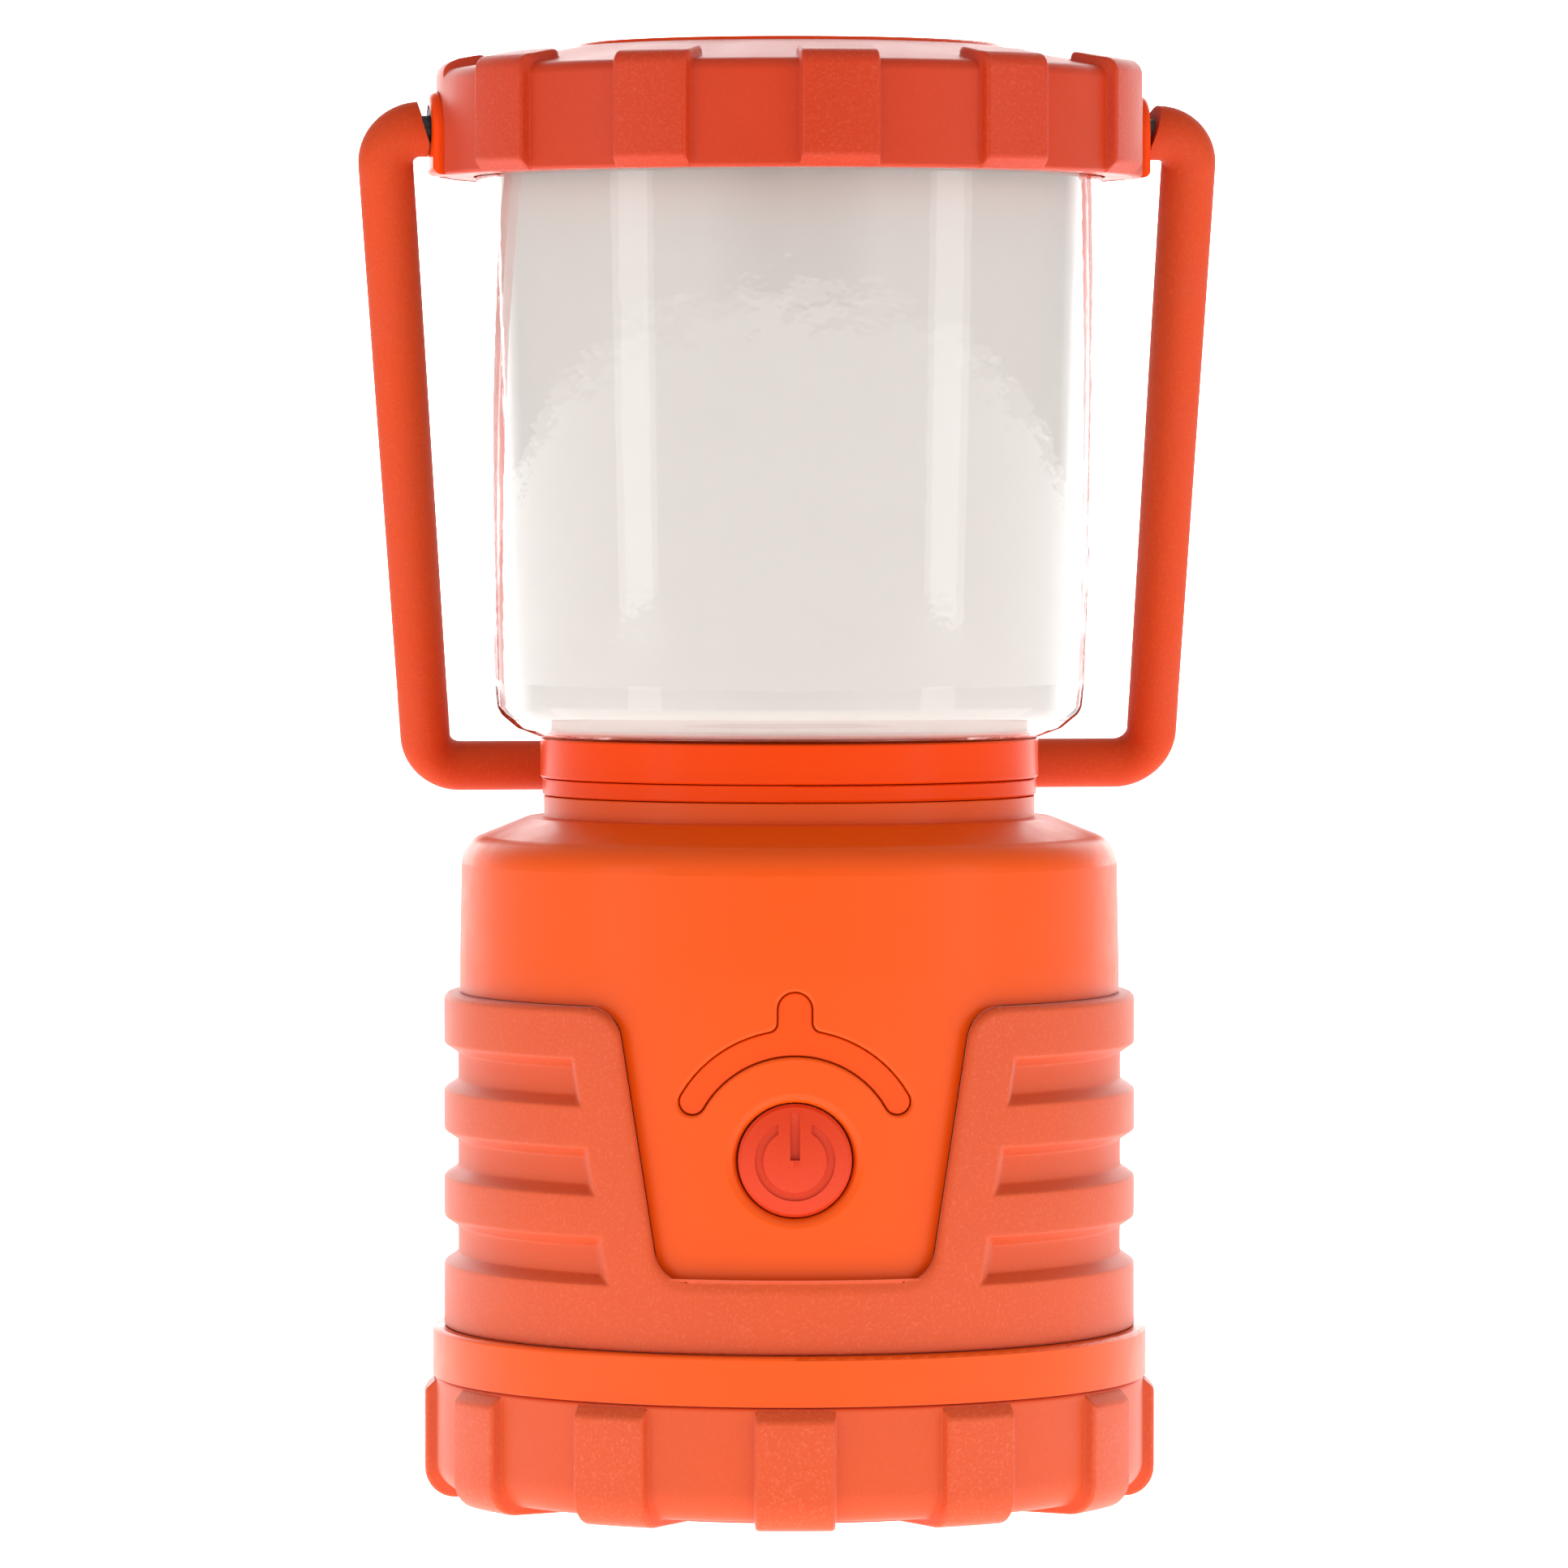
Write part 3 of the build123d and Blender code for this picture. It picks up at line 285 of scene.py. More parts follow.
def rubber(name, colour, pale, rough, depth_mm=0.05, sheen=0.2):
    """Overmoulded rubber. The grain attribute is 1 on the textured ribs and 0 on the smooth skin."""
    material, tree, shader, where = blank(name)
    drift = noise(tree, where, 11.0, detail=2.0)
    grain = add(tree, "ShaderNodeAttribute", attribute_name="grain").outputs["Fac"]
    pebbles = noise(tree, where, 0.42, detail=2.0, roughness=0.6)
    powder = noise(tree, where, 0.16, detail=1.0)
    tone = blend_colours(tree, drift, scaled(colour, 0.95), scaled(colour, 1.05))
    texture = between(tree, grain, 0.25, 1.0, 0, 1)
    crests = between(tree, pebbles, 0.0, 0.55, 0.52, 0.72)
    tone = blend_colours(tree, times(tree, crests, texture), tone, pale)
    tree.links.new(tone, shader.inputs["Base Color"])
    tree.links.new(between(tree, drift, rough * 0.92, rough * 1.08), shader.inputs["Roughness"])
    coarse = bump(tree, times(tree, pebbles, texture), depth_mm)
    tree.links.new(bump(tree, powder, depth_mm * 0.25, coarse), shader.inputs["Normal"])
    shader.inputs["Specular IOR Level"].default_value = 0.3
    shader.inputs["Sheen Weight"].default_value = sheen
    shader.inputs["Sheen Roughness"].default_value = 0.3
    return material


def clear(name, tint, rough):
    """Clear polycarbonate that lets the lights through to what is inside it."""
    material, tree, shader, where = blank(name)
    haze = noise(tree, where, 6.0, detail=3.0)
    tree.links.new(between(tree, haze, rough, rough * 2.2), shader.inputs["Roughness"])
    tree.links.new(blend_colours(tree, haze, tint, scaled(tint, 0.985)), shader.inputs["Base Color"])
    tree.links.new(bump(tree, haze, 0.02), shader.inputs["Normal"])
    shader.inputs["Transmission Weight"].default_value = 1.0
    shader.inputs["IOR"].default_value = 1.5
    see = add(tree, "ShaderNodeBsdfTransparent", {"Color": (*tint, 1.0)})
    path = add(tree, "ShaderNodeLightPath").outputs["Is Shadow Ray"]
    mix = add(tree, "ShaderNodeMixShader", {0: path, 1: shader.outputs[0], 2: see.outputs[0]})
    output = next(node for node in tree.nodes if node.type == "OUTPUT_MATERIAL")
    tree.links.new(mix.outputs[0], output.inputs["Surface"])
    return material


def frosted(name, colour):
    """Milky diffusing plastic with a fine frosted face."""
    material, tree, shader, where = blank(name)
    cloud = noise(tree, where, 20.0, detail=2.0)
    frost = noise(tree, where, 0.25, detail=2.0)
    tone = blend_colours(tree, cloud, scaled(colour, 0.985), scaled(colour, 1.01))
    tree.links.new(tone, shader.inputs["Base Color"])
    tree.links.new(between(tree, frost, 0.6, 0.75), shader.inputs["Roughness"])
    tree.links.new(bump(tree, frost, 0.01), shader.inputs["Normal"])
    shader.inputs["Specular IOR Level"].default_value = 0.15
    shader.inputs["Subsurface Weight"].default_value = 0.25
    shader.inputs["Subsurface Radius"].default_value = (0.003, 0.0028, 0.0026)
    shader.inputs["Subsurface Scale"].default_value = 1.0
    return material


def brushed(name, colour, rough, fineness):
    """Metal with fine parallel lines. fineness is how much closer they lie along each axis."""
    material, tree, shader, where = blank(name)
    mapping = add(tree, "ShaderNodeMapping", {"Vector": where, "Scale": fineness})
    lines = noise(tree, mapping.outputs[0], 0.3, detail=3.0)
    stain = noise(tree, where, 7.0, detail=3.0)
    tree.links.new(blend_colours(tree, stain, scaled(colour, 0.88), colour), shader.inputs["Base Color"])
    tree.links.new(between(tree, lines, rough * 0.8, rough * 1.3), shader.inputs["Roughness"])
    tree.links.new(bump(tree, lines, 0.008), shader.inputs["Normal"])
    shader.inputs["Metallic"].default_value = 1.0
    return material


def circuit(name):
    """Green board: copper tracks under the solder mask."""
    material, tree, shader, where = blank(name)
    layout = {"Vector": where, "Scale": 260.0}
    islands = add(tree, "ShaderNodeTexVoronoi", layout, feature="DISTANCE_TO_EDGE")
    tracks = between(tree, islands.outputs["Distance"], 1.0, 0.0, 0.05, 0.09)
    tone = blend_colours(tree, tracks, (0.012, 0.11, 0.04), (0.03, 0.2, 0.07))
    tree.links.new(tone, shader.inputs["Base Color"])
    tree.links.new(bump(tree, tracks, 0.03), shader.inputs["Normal"])
    tree.links.new(between(tree, tracks, 0.3, 0.38, 0, 1), shader.inputs["Roughness"])
    return material


def cell_can(name):
    """Printed cell jacket: a copper-coloured band above a dark sleeve, both slightly scuffed."""
    material, tree, shader, where = blank(name)
    height = add(tree, "ShaderNodeSeparateXYZ", {"Vector": where}).outputs["Z"]
    band = between(tree, height, 0.0, 1.0, 0.0555, 0.0557)
    scuffs = noise(tree, where, 2.5, detail=6.0, roughness=0.7)
    tone = blend_colours(tree, band, (0.02, 0.02, 0.023), (0.62, 0.34, 0.16))
    tone = blend_colours(tree, between(tree, scuffs, 0.0, 0.35, 0.62, 0.7), tone, (0.4, 0.4, 0.4))
    tree.links.new(tone, shader.inputs["Base Color"])
    tree.links.new(between(tree, scuffs, 0.24, 0.42), shader.inputs["Roughness"])
    tree.links.new(bump(tree, scuffs, 0.01), shader.inputs["Normal"])
    shader.inputs["Metallic"].default_value = 0.6
    return material


def led_phosphor(name):
    """Yellow phosphor in a pale package."""
    material, tree, shader, where = blank(name)
    speck = noise(tree, where, 0.2, detail=3.0)
    tone = blend_colours(tree, speck, (0.9, 0.62, 0.1), (0.95, 0.82, 0.3))
    tree.links.new(tone, shader.inputs["Base Color"])
    tree.links.new(between(tree, speck, 0.3, 0.5), shader.inputs["Roughness"])
    tree.links.new(bump(tree, speck, 0.01), shader.inputs["Normal"])
    return material


orange = (0.722, 0.0745, 0.002)
finishes = {
    "orange_shell": moulded("orange_shell", orange, 0.33, 0.22, 0.006, vary=0.03, specular=0.22),
    "orange_gloss": moulded("orange_gloss", (0.79, 0.052, 0.001), 0.24, 1.5, 0.004, vary=0.03, specular=0.1),
    "insert_gloss": moulded("insert_gloss", (0.74, 0.066, 0.001), 0.3, 0.22, 0.004, vary=0.03, specular=0.2),
    "orange_rubber": rubber("orange_rubber", (0.575, 0.068, 0.0125), (0.645, 0.13, 0.062), 0.5, sheen=0.23),
    # The cap's rubber is the base's orange rubber painted darker and redder: painted shade, as the cap gets less
    # light than the base.
    "cap_rubber_shaded": rubber("cap_rubber_shaded", (0.53, 0.033, 0.002), (0.58, 0.071, 0.025), 0.42, sheen=0.17),
    "button_rubber": rubber("button_rubber", (0.60, 0.034, 0.002), (0.65, 0.07, 0.02), 0.5, sheen=0.05),
    "orange_sleeve": rubber("orange_sleeve", (0.56, 0.044, 0.001), (0.61, 0.072, 0.011), 0.7, sheen=0.02),
    "clear_globe": clear("clear_globe", (0.98, 0.972, 0.966), 0.012),
    "frosted_white": frosted("frosted_white", (0.885, 0.83, 0.78)),
    "white_plastic": moulded("white_plastic", (0.84, 0.84, 0.82), 0.3, 0.8, 0.01, vary=0.02),
    "black_plastic": moulded("black_plastic", (0.025, 0.025, 0.027), 0.45, 0.35, 0.02, vary=0.12),
    "seal_rubber": moulded("seal_rubber", (0.03, 0.03, 0.032), 0.6, 0.5, 0.02, vary=0.12),
    "steel": brushed("steel", (0.5, 0.5, 0.5), 0.32, (1.0, 1.0, 6.0)),
    "dark_steel": brushed("dark_steel", (0.07, 0.07, 0.075), 0.4, (1.0, 1.0, 6.0)),
    "nickel": brushed("nickel", (0.68, 0.66, 0.6), 0.2, (1.0, 6.0, 1.0)),
    "aluminium": brushed("aluminium", (0.72, 0.73, 0.74), 0.38, (8.0, 1.0, 1.0)),
    "board": circuit("board"),
    "led_yellow": led_phosphor("led_yellow"),
    "wire_red": moulded("wire_red", (0.5, 0.015, 0.015), 0.4, 0.6, 0.01, vary=0.08),
    "cell_can": cell_can("cell_can"),
}
own_finish = {
    "power_button": "button_rubber",
    "indicator_insert": "insert_gloss",
    # The cap gets the darker copy of the rubber, which is painted shade.
    "cap_overmould": "cap_rubber_shaded",
    "handle_wire": "dark_steel",
}
for subpart in frame["record"]["subparts"]:
    node_mesh = frame["nodes"][subpart["node"]].data
    node_mesh.materials.clear()
    node_mesh.materials.append(finishes[own_finish.get(subpart["node"], subpart["material_slot"])])

# ---------------------------------------------------------------- ribbed skins of cap and base


def rib_columns(width, height, rounding=0.5):
    """Offsets across one rib, from its middle line, and how far each stands up, 0 to 1."""
    half = width / 2
    arc = np.linspace(0, pi / 2, 6)
    edge = half - rounding + rounding * np.sin(arc)
    fall = 1 - rounding / height * (1 - np.cos(arc))
    offsets = np.array([0.0, half * 0.5, *edge, half + 0.04, half + 0.1, half + 0.3])
    rises = np.array([1.0, 1.0, *fall, 0.22, 0.07, 0.0])
    return np.concatenate([-offsets[:0:-1], offsets]), np.concatenate([rises[:0:-1], rises])


def ribbed_skin(section, width, height, turned_by, plain_ribs=(), plain_columns=(), gaps=7):
    """Points and rib weights of a ring whose ribs have parallel sides.

    section(offset, rise, plain) gives the closed outline of the ring at one column. The ribs
    listed in plain_ribs are left out, and plain_columns are the offsets used in their place.
    """
    offsets, rises = rib_columns(width, height)
    columns, weights, edges = [], [], []
    for rib in range(rib_count):
        centre = 2 * pi / rib_count * rib + turned_by
        plain = rib in plain_ribs
        here = np.array(plain_columns) if plain else offsets
        lift = np.zeros(len(here)) if plain else rises
        strip = []
        for offset, rise in zip(here, lift):
            outline = section(offset, rise, plain)
            strip.append((outline, centre + np.arcsin(offset / outline[:, 0])))
            weights.append(np.full(len(outline), rise))
        edges.append((strip[0], strip[-1]))
        columns.append(strip)
        weights.extend([np.zeros(len(outline))] * (gaps - 1))
    points = []
    for rib in range(rib_count):
        points.extend(turn(outline[:, 0], angle, outline[:, 1]) for outline, angle in columns[rib])
        outline, last = edges[rib][1]
        following = edges[(rib + 1) % rib_count][0][1]
        following = following + (2 * pi if rib == rib_count - 1 else 0)
        for step in range(1, gaps):
            angle = last + (following - last) * step / gaps
            points.append(turn(outline[:, 0], angle, outline[:, 1]))
    points, weights = np.array(points), np.array(weights)
    faces = grid_faces(points.shape[0], points.shape[1], close_rows=True, close_columns=True)
    return points, faces, weights


def lerp(first, second, share):
    """A value part of the way from first to second."""
    return first + (second - first) * share


def along(start, stop, count):
    """Evenly spaced points of a straight run, without its last point."""
    shares = np.arange(count)[:, None] / count
    return np.array(start) + (np.array(stop) - np.array(start)) * shares


def arc_points(centre, radius, start, stop, count):
    """Points of a circle arc between two angles in degrees."""
    angles = np.radians(np.linspace(start, stop, count))
    return np.array(centre) + radius * np.stack([np.cos(angles), np.sin(angles)], axis=-1)


def cover_section(_offset, rise, _plain):
    """Outline of the base cover's skin: foot ring, round lower corner, wall and inner face.

    It is the same at every offset, and no rib of it is plain.
    """
    foot_r, foot_edge, corner = 31.0, 34.5, 3.7
    shelf, wall_end, rim_round = 1.0, 13.4, 0.4
    rib_end, chamfer_start, chamfer_end, chamfer = 12.6, 13.75, 14.95, 1.25
    rim = arc_points((cover_skin_r - rim_round, cover_top - rim_round), rim_round, 0, 90, 4)
    skin = np.concatenate([
        along((foot_edge, shelf), (cover_skin_r - corner, shelf), 6),
        arc_points((cover_skin_r - corner, shelf + corner), corner, -90, 0, 9),
        along((cover_skin_r, 5.5), (cover_skin_r, wall_end), 5),
        along((cover_skin_r, wall_end), (cover_skin_r, cover_top - rim_round), 6),
        rim,
    ])
    rib_top = rounded(
        (cover_rib_r, rib_end), (cover_rib_r, chamfer_start, 1.1), (cover_rib_r - chamfer, chamfer_end),
        steps=4, closed=False,
    )
    ribs = np.concatenate([
        along((foot_edge, 0.0), (cover_rib_r - corner, 0.0), 6),
        arc_points((cover_rib_r - corner, corner), corner, -90, 0, 9),
        along((cover_rib_r, 4.5), (cover_rib_r, rib_end), 5),
        rib_top[1:],
        rim,
    ])
    inner = [
        (cover_shell_r, cover_top), (cover_shell_r, 10.0), (cover_shell_r, 4.8), (cover_shell_r - 0.8, 3.0),
        (cover_shell_r - 2.6, 2.2), (37.0, 2.2), (foot_r, 2.2), (foot_r, 0.3), (foot_r + 0.3, 0.0),
        (foot_edge - 0.2, 0.0),
    ]
    return np.concatenate([lerp(skin, ribs, rise), inner])


cover_points, cover_faces, cover_grain = ribbed_skin(cover_section, cover_rib_width, cover_rib_height, 0.0)
new_piece(
    "base_cover_skin", cover_points, cover_faces, finishes["orange_rubber"],
    "base_cover", ["cover_overmould"], grain=cover_grain,
)

# The skin leaves a notch with a round top over each pivot boss
notch_half = 5.1
notch_round_z = 173.0
wall_band_top = 178.2


def cap_section(offset, rise, plain):
    """Outline of the cap's skin: wall, rounded shoulder, sloped top and inner face."""
    wall_top, crown_r, slope = 180.5, disc_r + 0.1, radians(10.4)
    steep = np.tan(slope)
    rib_end, end_corner = 39.0, 2.4
    half = cap_rib_width / 2
    beyond = np.clip(abs(offset) - (half - end_corner), 0, end_corner)
    end_r = rib_end + end_corner - sqrt(end_corner**2 - beyond**2)

    def top_height(radius):
        """Height of the sloped top."""
        return wall_top + (cap_skin_r - radius) * steep

    shoulder, rib_shoulder = 1.6, 1.9
    slope_r, rib_rise = 40.0, 1.2
    skin_arc = rounded(
        (cap_skin_r, wall_top - 4), (cap_skin_r, wall_top, shoulder), (slope_r, top_height(slope_r)),
        steps=8, closed=False,
    )[1:-1]
    rib_arc = rounded(
        (cap_rib_r, wall_top - 4), (cap_rib_r, wall_top + 1.0, rib_shoulder),
        (slope_r, top_height(slope_r) + rib_rise), steps=8, closed=False,
    )[1:-1]
    wall = np.linspace(cap_bottom + 1.9, wall_band_top, 6)
    skin_wall = np.concatenate([
        [(cap_bore_r + 0.6, cap_bottom)],
        arc_points((cap_skin_r - 0.5, cap_bottom + 0.5), 0.5, -90, 0, 10),
        np.stack([np.full(6, cap_skin_r), wall], axis=-1),
    ])
    rib_wall = np.concatenate([
        [(cap_bore_r + 0.6, cap_bottom)],
        rounded(
            (cap_bore_r + 0.8, cap_bottom), (44.85, cap_bottom, 0.5), (cap_rib_r, cap_bottom + 1.35, 0.95),
            (cap_rib_r, cap_bottom + 1.9), steps=4, closed=False,
        )[1:-1],
        np.stack([np.full(6, cap_rib_r), wall], axis=-1),
    ])
    if plain and abs(offset) < notch_half + 0.01:
        floor_z = notch_round_z + sqrt(max(0.0, notch_half**2 - offset**2))
    else:
        floor_z = cap_bottom
    lifted = np.array(skin_wall)
    squeeze = (wall_band_top - floor_z) / (wall_band_top - cap_bottom)
    lifted[:, 1] = floor_z + (skin_wall[:, 1] - cap_bottom) * squeeze
    outer = lerp(lifted, rib_wall, rise)
    top_rise = soft_ramp(half - abs(offset), 0.35, 0.08) if plain else rise
    over_boss = rounded(
        (cap_skin_r, wall_top - 3), (cap_skin_r, wall_top + 0.95, rib_shoulder),
        (slope_r, top_height(slope_r) + rib_rise), steps=8, closed=False,
    )[1:-1]
    arc = lerp(skin_arc, over_boss if plain else rib_arc, top_rise)
    steps_in = np.array([1.2, 0.75, 0.5, 0.3, 0.12, 0.03, -0.05, -0.3])
    rises_in = np.array([1.0, 0.98, 0.93, 0.84, 0.68, 0.45, 0.12, 0.0])
    before = np.linspace(arc[-1][0], end_r + 1.2, 5)[1:-1]
    after = np.linspace(end_r - 0.3, crown_r + 0.5, 6)[1:]
    radii = np.concatenate([before, end_r + steps_in, after])
    lifts = np.concatenate([np.ones(3), rises_in, np.zeros(5)]) * top_rise * rib_rise
    top = np.stack([radii, top_height(radii) + lifts], axis=-1)
    rim = arc_points((crown_r + 0.3, top_height(crown_r) - 0.35), 0.3, 80, 180, 4)
    inner = [
        (crown_r, 182.1), (33.0, 180.98), (cap_bore_r - 0.6, 178.95), (cap_bore_r, 178.3),
        (cap_bore_r, max(176.0, floor_z + 0.1)), (cap_bore_r, max(172.0, floor_z + 0.05)),
        (cap_bore_r, floor_z),
    ]
    return np.concatenate([outer, arc, top, rim, inner])


notch_side = np.array([5.6, notch_half + 0.03, notch_half, 4.92, 4.8, 4.7, 4.55, 4.4, 4.0, 3.2, 2.2, 1.1])
notch_columns = np.concatenate([-notch_side, [0.0], notch_side[::-1]])
cap_points, cap_faces, cap_grain = ribbed_skin(
    cap_section, cap_rib_width, 1.3, head_angle, plain_ribs=(3, 9), plain_columns=notch_columns
)
new_piece(
    "cap_skin", cap_points, cap_faces, finishes["cap_rubber_shaded"],
    "head", ["cap_overmould"], grain=cap_grain,
)

# ---------------------------------------------------------------- grip with its front window

window_bottom = 30.5
window_low_half, window_high_half, window_high_z = 16.6, 21.85, 64.15
window_slope = (window_high_half - window_low_half) / (window_high_z - window_bottom)
window_gap = 0.12
land = 7.5
corner_r, flare_r = 4.2, 4.4
lip_height, low_lip, lip_reach = 1.2, 0.35, 1.5
groove_middles = (54.75, 43.75, 32.75)
groove_depth = 1.8
groove_chamfer = 1.15
groove_half = 1.75 + groove_chamfer


def side_line(height):
    """Half-width of the window on its straight slanted side."""
    return window_low_half + window_gap + window_slope * (height - window_bottom)


def window_edge(height):
    """Half-width of the window, with its round lower corner and its flared top."""
    stretch = sqrt(1 + window_slope**2)
    low_z, high_z = window_bottom + corner_r, grip_top - flare_r
    lean = atan(window_slope)
    if height < low_z - corner_r * sin(lean):
        centre = side_line(low_z) - corner_r * stretch
        return centre + sqrt(max(0.0, corner_r**2 - (low_z - height) ** 2))
    if height > high_z + flare_r * sin(lean):
        centre = side_line(high_z) + flare_r * stretch
        return centre - sqrt(max(0.0, flare_r**2 - (height - high_z) ** 2))
    return side_line(height)


def grip_rows():
    """Heights of the grid rows above the window's lower edge."""
    corner = window_bottom + corner_r * (1 - np.cos(np.linspace(0, 1.4, 9)))
    flare = grip_top - flare_r * (1 - np.cos(np.linspace(0, 1.4, 11)))
    near = np.array([0, 0.9, 1.45, 1.65, 1.8, 2.0, 2.3, 2.6, 2.8, 2.95, 3.1, 3.4, 4.2])
    grooves = np.concatenate([middle + side * near for middle in groove_middles for side in (-1, 1)])
    edge = grip_top - np.array([0.05, 0.12, 0.2, 0.35, 0.55, 0.8, 1.1, 1.5])
    rows = np.unique(np.round(np.concatenate([corner, flare, grooves, edge]), 3))
    rows = rows[(rows >= window_bottom) & (rows <= grip_top)]
    closest = 0.015
    return rows[np.concatenate([[True], np.diff(rows) > closest])]


def side_columns(height):
    """Angles of the columns on the right side, from the front window's edge to the rear one's."""
    edge, line = window_edge(height), side_line(height)
    near = edge + np.array([0, 0.03, 0.1, 0.22, 0.38, 0.58, 0.85, 1.25])
    reach = line + np.array([6.0, 6.2, 6.4, 6.65, 6.9, 7.15, 7.35, 7.5, 7.7, 8.1, 9.0, 10.5])
    middle = lerp(near[-1], reach[0], np.array([0.15, 0.35, 0.6, 0.8]))
    half = np.arcsin(np.concatenate([near, middle, reach]) / grip_r)
    around = np.linspace(half[-1], pi - half[-1], 34)[1:-1]
    return np.concatenate([half, around, pi - half[::-1]])


def grip_outline():
    """Points along the window's whole edge, used to measure the distance to it."""
    rows = np.linspace(window_bottom, grip_top, 400)
    side = np.array([(window_edge(height), height) for height in rows])
    bottom = np.stack([np.linspace(0, side[0][0], 60), np.full(60, window_bottom)], axis=-1)
    return np.concatenate([bottom, side])


def build_grip():
    """The rubber grip: lower ring and two side patches that leave a window at the front and the rear."""
    top_round, foot_round, groove_blur = 0.95, 0.3, 0.14
    outline = grip_outline()
    rows = grip_rows()
    sides = np.array([side_columns(height) for height in rows])
    front = np.linspace(-sides[0][0], sides[0][0], 33)[1:-1]
    lip_rows = window_bottom - np.array([0, 0.1, 0.22, 0.38, 0.55, 0.75, 0.95, 1.15, 1.35, 1.55, 1.75])
    groove_rows = groove_middles[-1] - np.array([1.8, 2.0, 2.3, 2.6, 2.8, 2.95, 3.1, 3.4, 4.2])
    foot_rows = [27.5, 26.0, 24.5, 23.0, 22.2, 22.0, 21.87, grip_bottom]
    lower = np.unique(np.round(np.concatenate([lip_rows, groove_rows, foot_rows]), 3))
    ring = np.concatenate([front, sides[0], pi + front, pi + sides[0]])
    angle = [np.tile(ring, len(lower)), sides.ravel(), pi + sides.ravel()]
    height = [np.repeat(lower, len(ring)), np.repeat(rows, sides.shape[1]), np.repeat(rows, sides.shape[1])]
    angle, height = np.concatenate(angle), np.concatenate(height)
    start = len(lower) * len(ring)
    faces = [grid_faces(len(lower), len(ring), close_columns=True)]
    for patch in range(2):
        faces.append(grid_faces(len(rows), sides.shape[1]) + start + patch * sides.size)
    faces = np.concatenate(faces)

    # Points that both the ring and a side patch have become one
    key = np.round(np.stack([np.mod(angle, 2 * pi), height], axis=-1), 6)
    first, same = np.unique(key, axis=0, return_index=True, return_inverse=True)[1:]
    angle, height, faces = angle[first], height[first], same.ravel()[faces]

    across = np.abs(np.sin(angle)) * grip_r
    low = np.clip((window_bottom + corner_r - height) / corner_r, 0, 1)
    squeeze = lerp(1.0, lip_height / lip_reach, low)
    drop = (height[:, None] - outline[None, :, 1]) * squeeze[:, None]
    distance = np.min(np.hypot(across[:, None] - outline[None, :, 0], drop), axis=1)
    past_land = across - side_line(height) - (land - groove_chamfer)
    beside = soft_ramp(past_land, groove_chamfer, groove_blur)
    flank_depth = 20
    beside = np.where(np.abs(np.cos(angle)) * grip_r < flank_depth, 1.0, beside)
    depth = np.zeros(len(angle))
    for middle in groove_middles:
        ramp = soft_ramp(groove_half - np.abs(height - middle), groove_chamfer, groove_blur)
        depth = np.maximum(depth, groove_depth * np.minimum(ramp, beside))
    lip = edge_drop(distance, lip_height)
    slope = low_lip * (1 - np.sin(np.clip(distance / lip_height, 0, 1) * pi / 2))
    depth = np.maximum(depth, lerp(lip, slope, low))
    depth = np.maximum(depth, edge_drop(grip_top - height, top_round))
    depth = np.maximum(depth, edge_drop(height - grip_bottom, foot_round))
    outer_r = grip_r - depth
    fade_end, fade = 30.0, 8.0
    beside_window = np.clip((fade_end - across) / fade, 0, 1)

    def straight_in(radius):
        """Angle that keeps the window's edge at the same width on a smaller radius."""
        spread = lerp(1.0, grip_r / radius, beside_window)
        turned = np.arcsin(np.clip(across / grip_r * spread, -1, 1)) - np.arcsin(across / grip_r)
        return angle + turned * np.sign(np.sin(angle)) * np.sign(np.cos(angle))

    outer = turn(outer_r, straight_in(outer_r), height)
    undercut, undercut_reach = 0.25, 3
    tucked = height - undercut * np.clip(1 - np.abs(height - window_bottom) / undercut_reach, 0, 1)
    inner = turn(grip_bore_r, straight_in(grip_bore_r), tucked)

    # The wall between the outer and the inner face runs along every open edge
    count = len(angle)
    pairs = np.concatenate([faces[:, [i, (i + 1) % 4]] for i in range(4)])
    code = np.sort(pairs, axis=1)
    edge_number = code[:, 0] * count + code[:, 1]
    back, uses = np.unique(edge_number, return_inverse=True, return_counts=True)[1:]
    rim = pairs[uses[back.ravel()] == 1]
    wall = np.stack([rim[:, 1], rim[:, 0], rim[:, 0] + count, rim[:, 1] + count], axis=-1)
    faces = np.concatenate([faces, faces[:, ::-1] + count, wall])
    worn_depth, land_grain = 0.6, 0.6
    grain = np.concatenate([1 - np.clip(depth / worn_depth, 0, 1), np.zeros(count)]) * land_grain
    new_piece(
        "grip_skin", np.concatenate([outer, inner]), faces, finishes["orange_rubber"],
        "housing", ["grip_sleeve"], grain=grain,
    )


build_grip()

# ---------------------------------------------------------------- bail handle

handle_lean = radians(23.5)
handle_length = 88.9
handle_top_half = 51.7
handle_bar_half = 47.8
handle_skew = 5.1
head_x = np.array([cos(head_angle), sin(head_angle), 0.0])
head_y = np.array([-sin(head_angle), cos(head_angle), 0.0])
bail_down = head_y * sin(handle_lean) - np.array([0, 0, cos(handle_lean)])
bail_normal = np.cross(head_x, bail_down)


def bail_line(start):
    """Centre line of the bail, as points in its plane from one end to the other."""
    corners = [
        (-start, 0), (-handle_top_half, 0, 4.3), (-handle_bar_half + handle_skew, handle_length, 4.8),
        (handle_bar_half + handle_skew, handle_length, 4.8), (handle_top_half, 0, 4.3), (start, 0),
    ]
    spacing = 3.0
    line = rounded(*corners, steps=18, closed=False)
    fine = [line[0]]
    for point in line[1:]:
        parts = max(1, int(np.linalg.norm(point - fine[-1]) / spacing))
        last = fine[-1]
        fine.extend(last + (point - last) * (i + 1) / parts for i in range(parts))
    return np.array(fine)


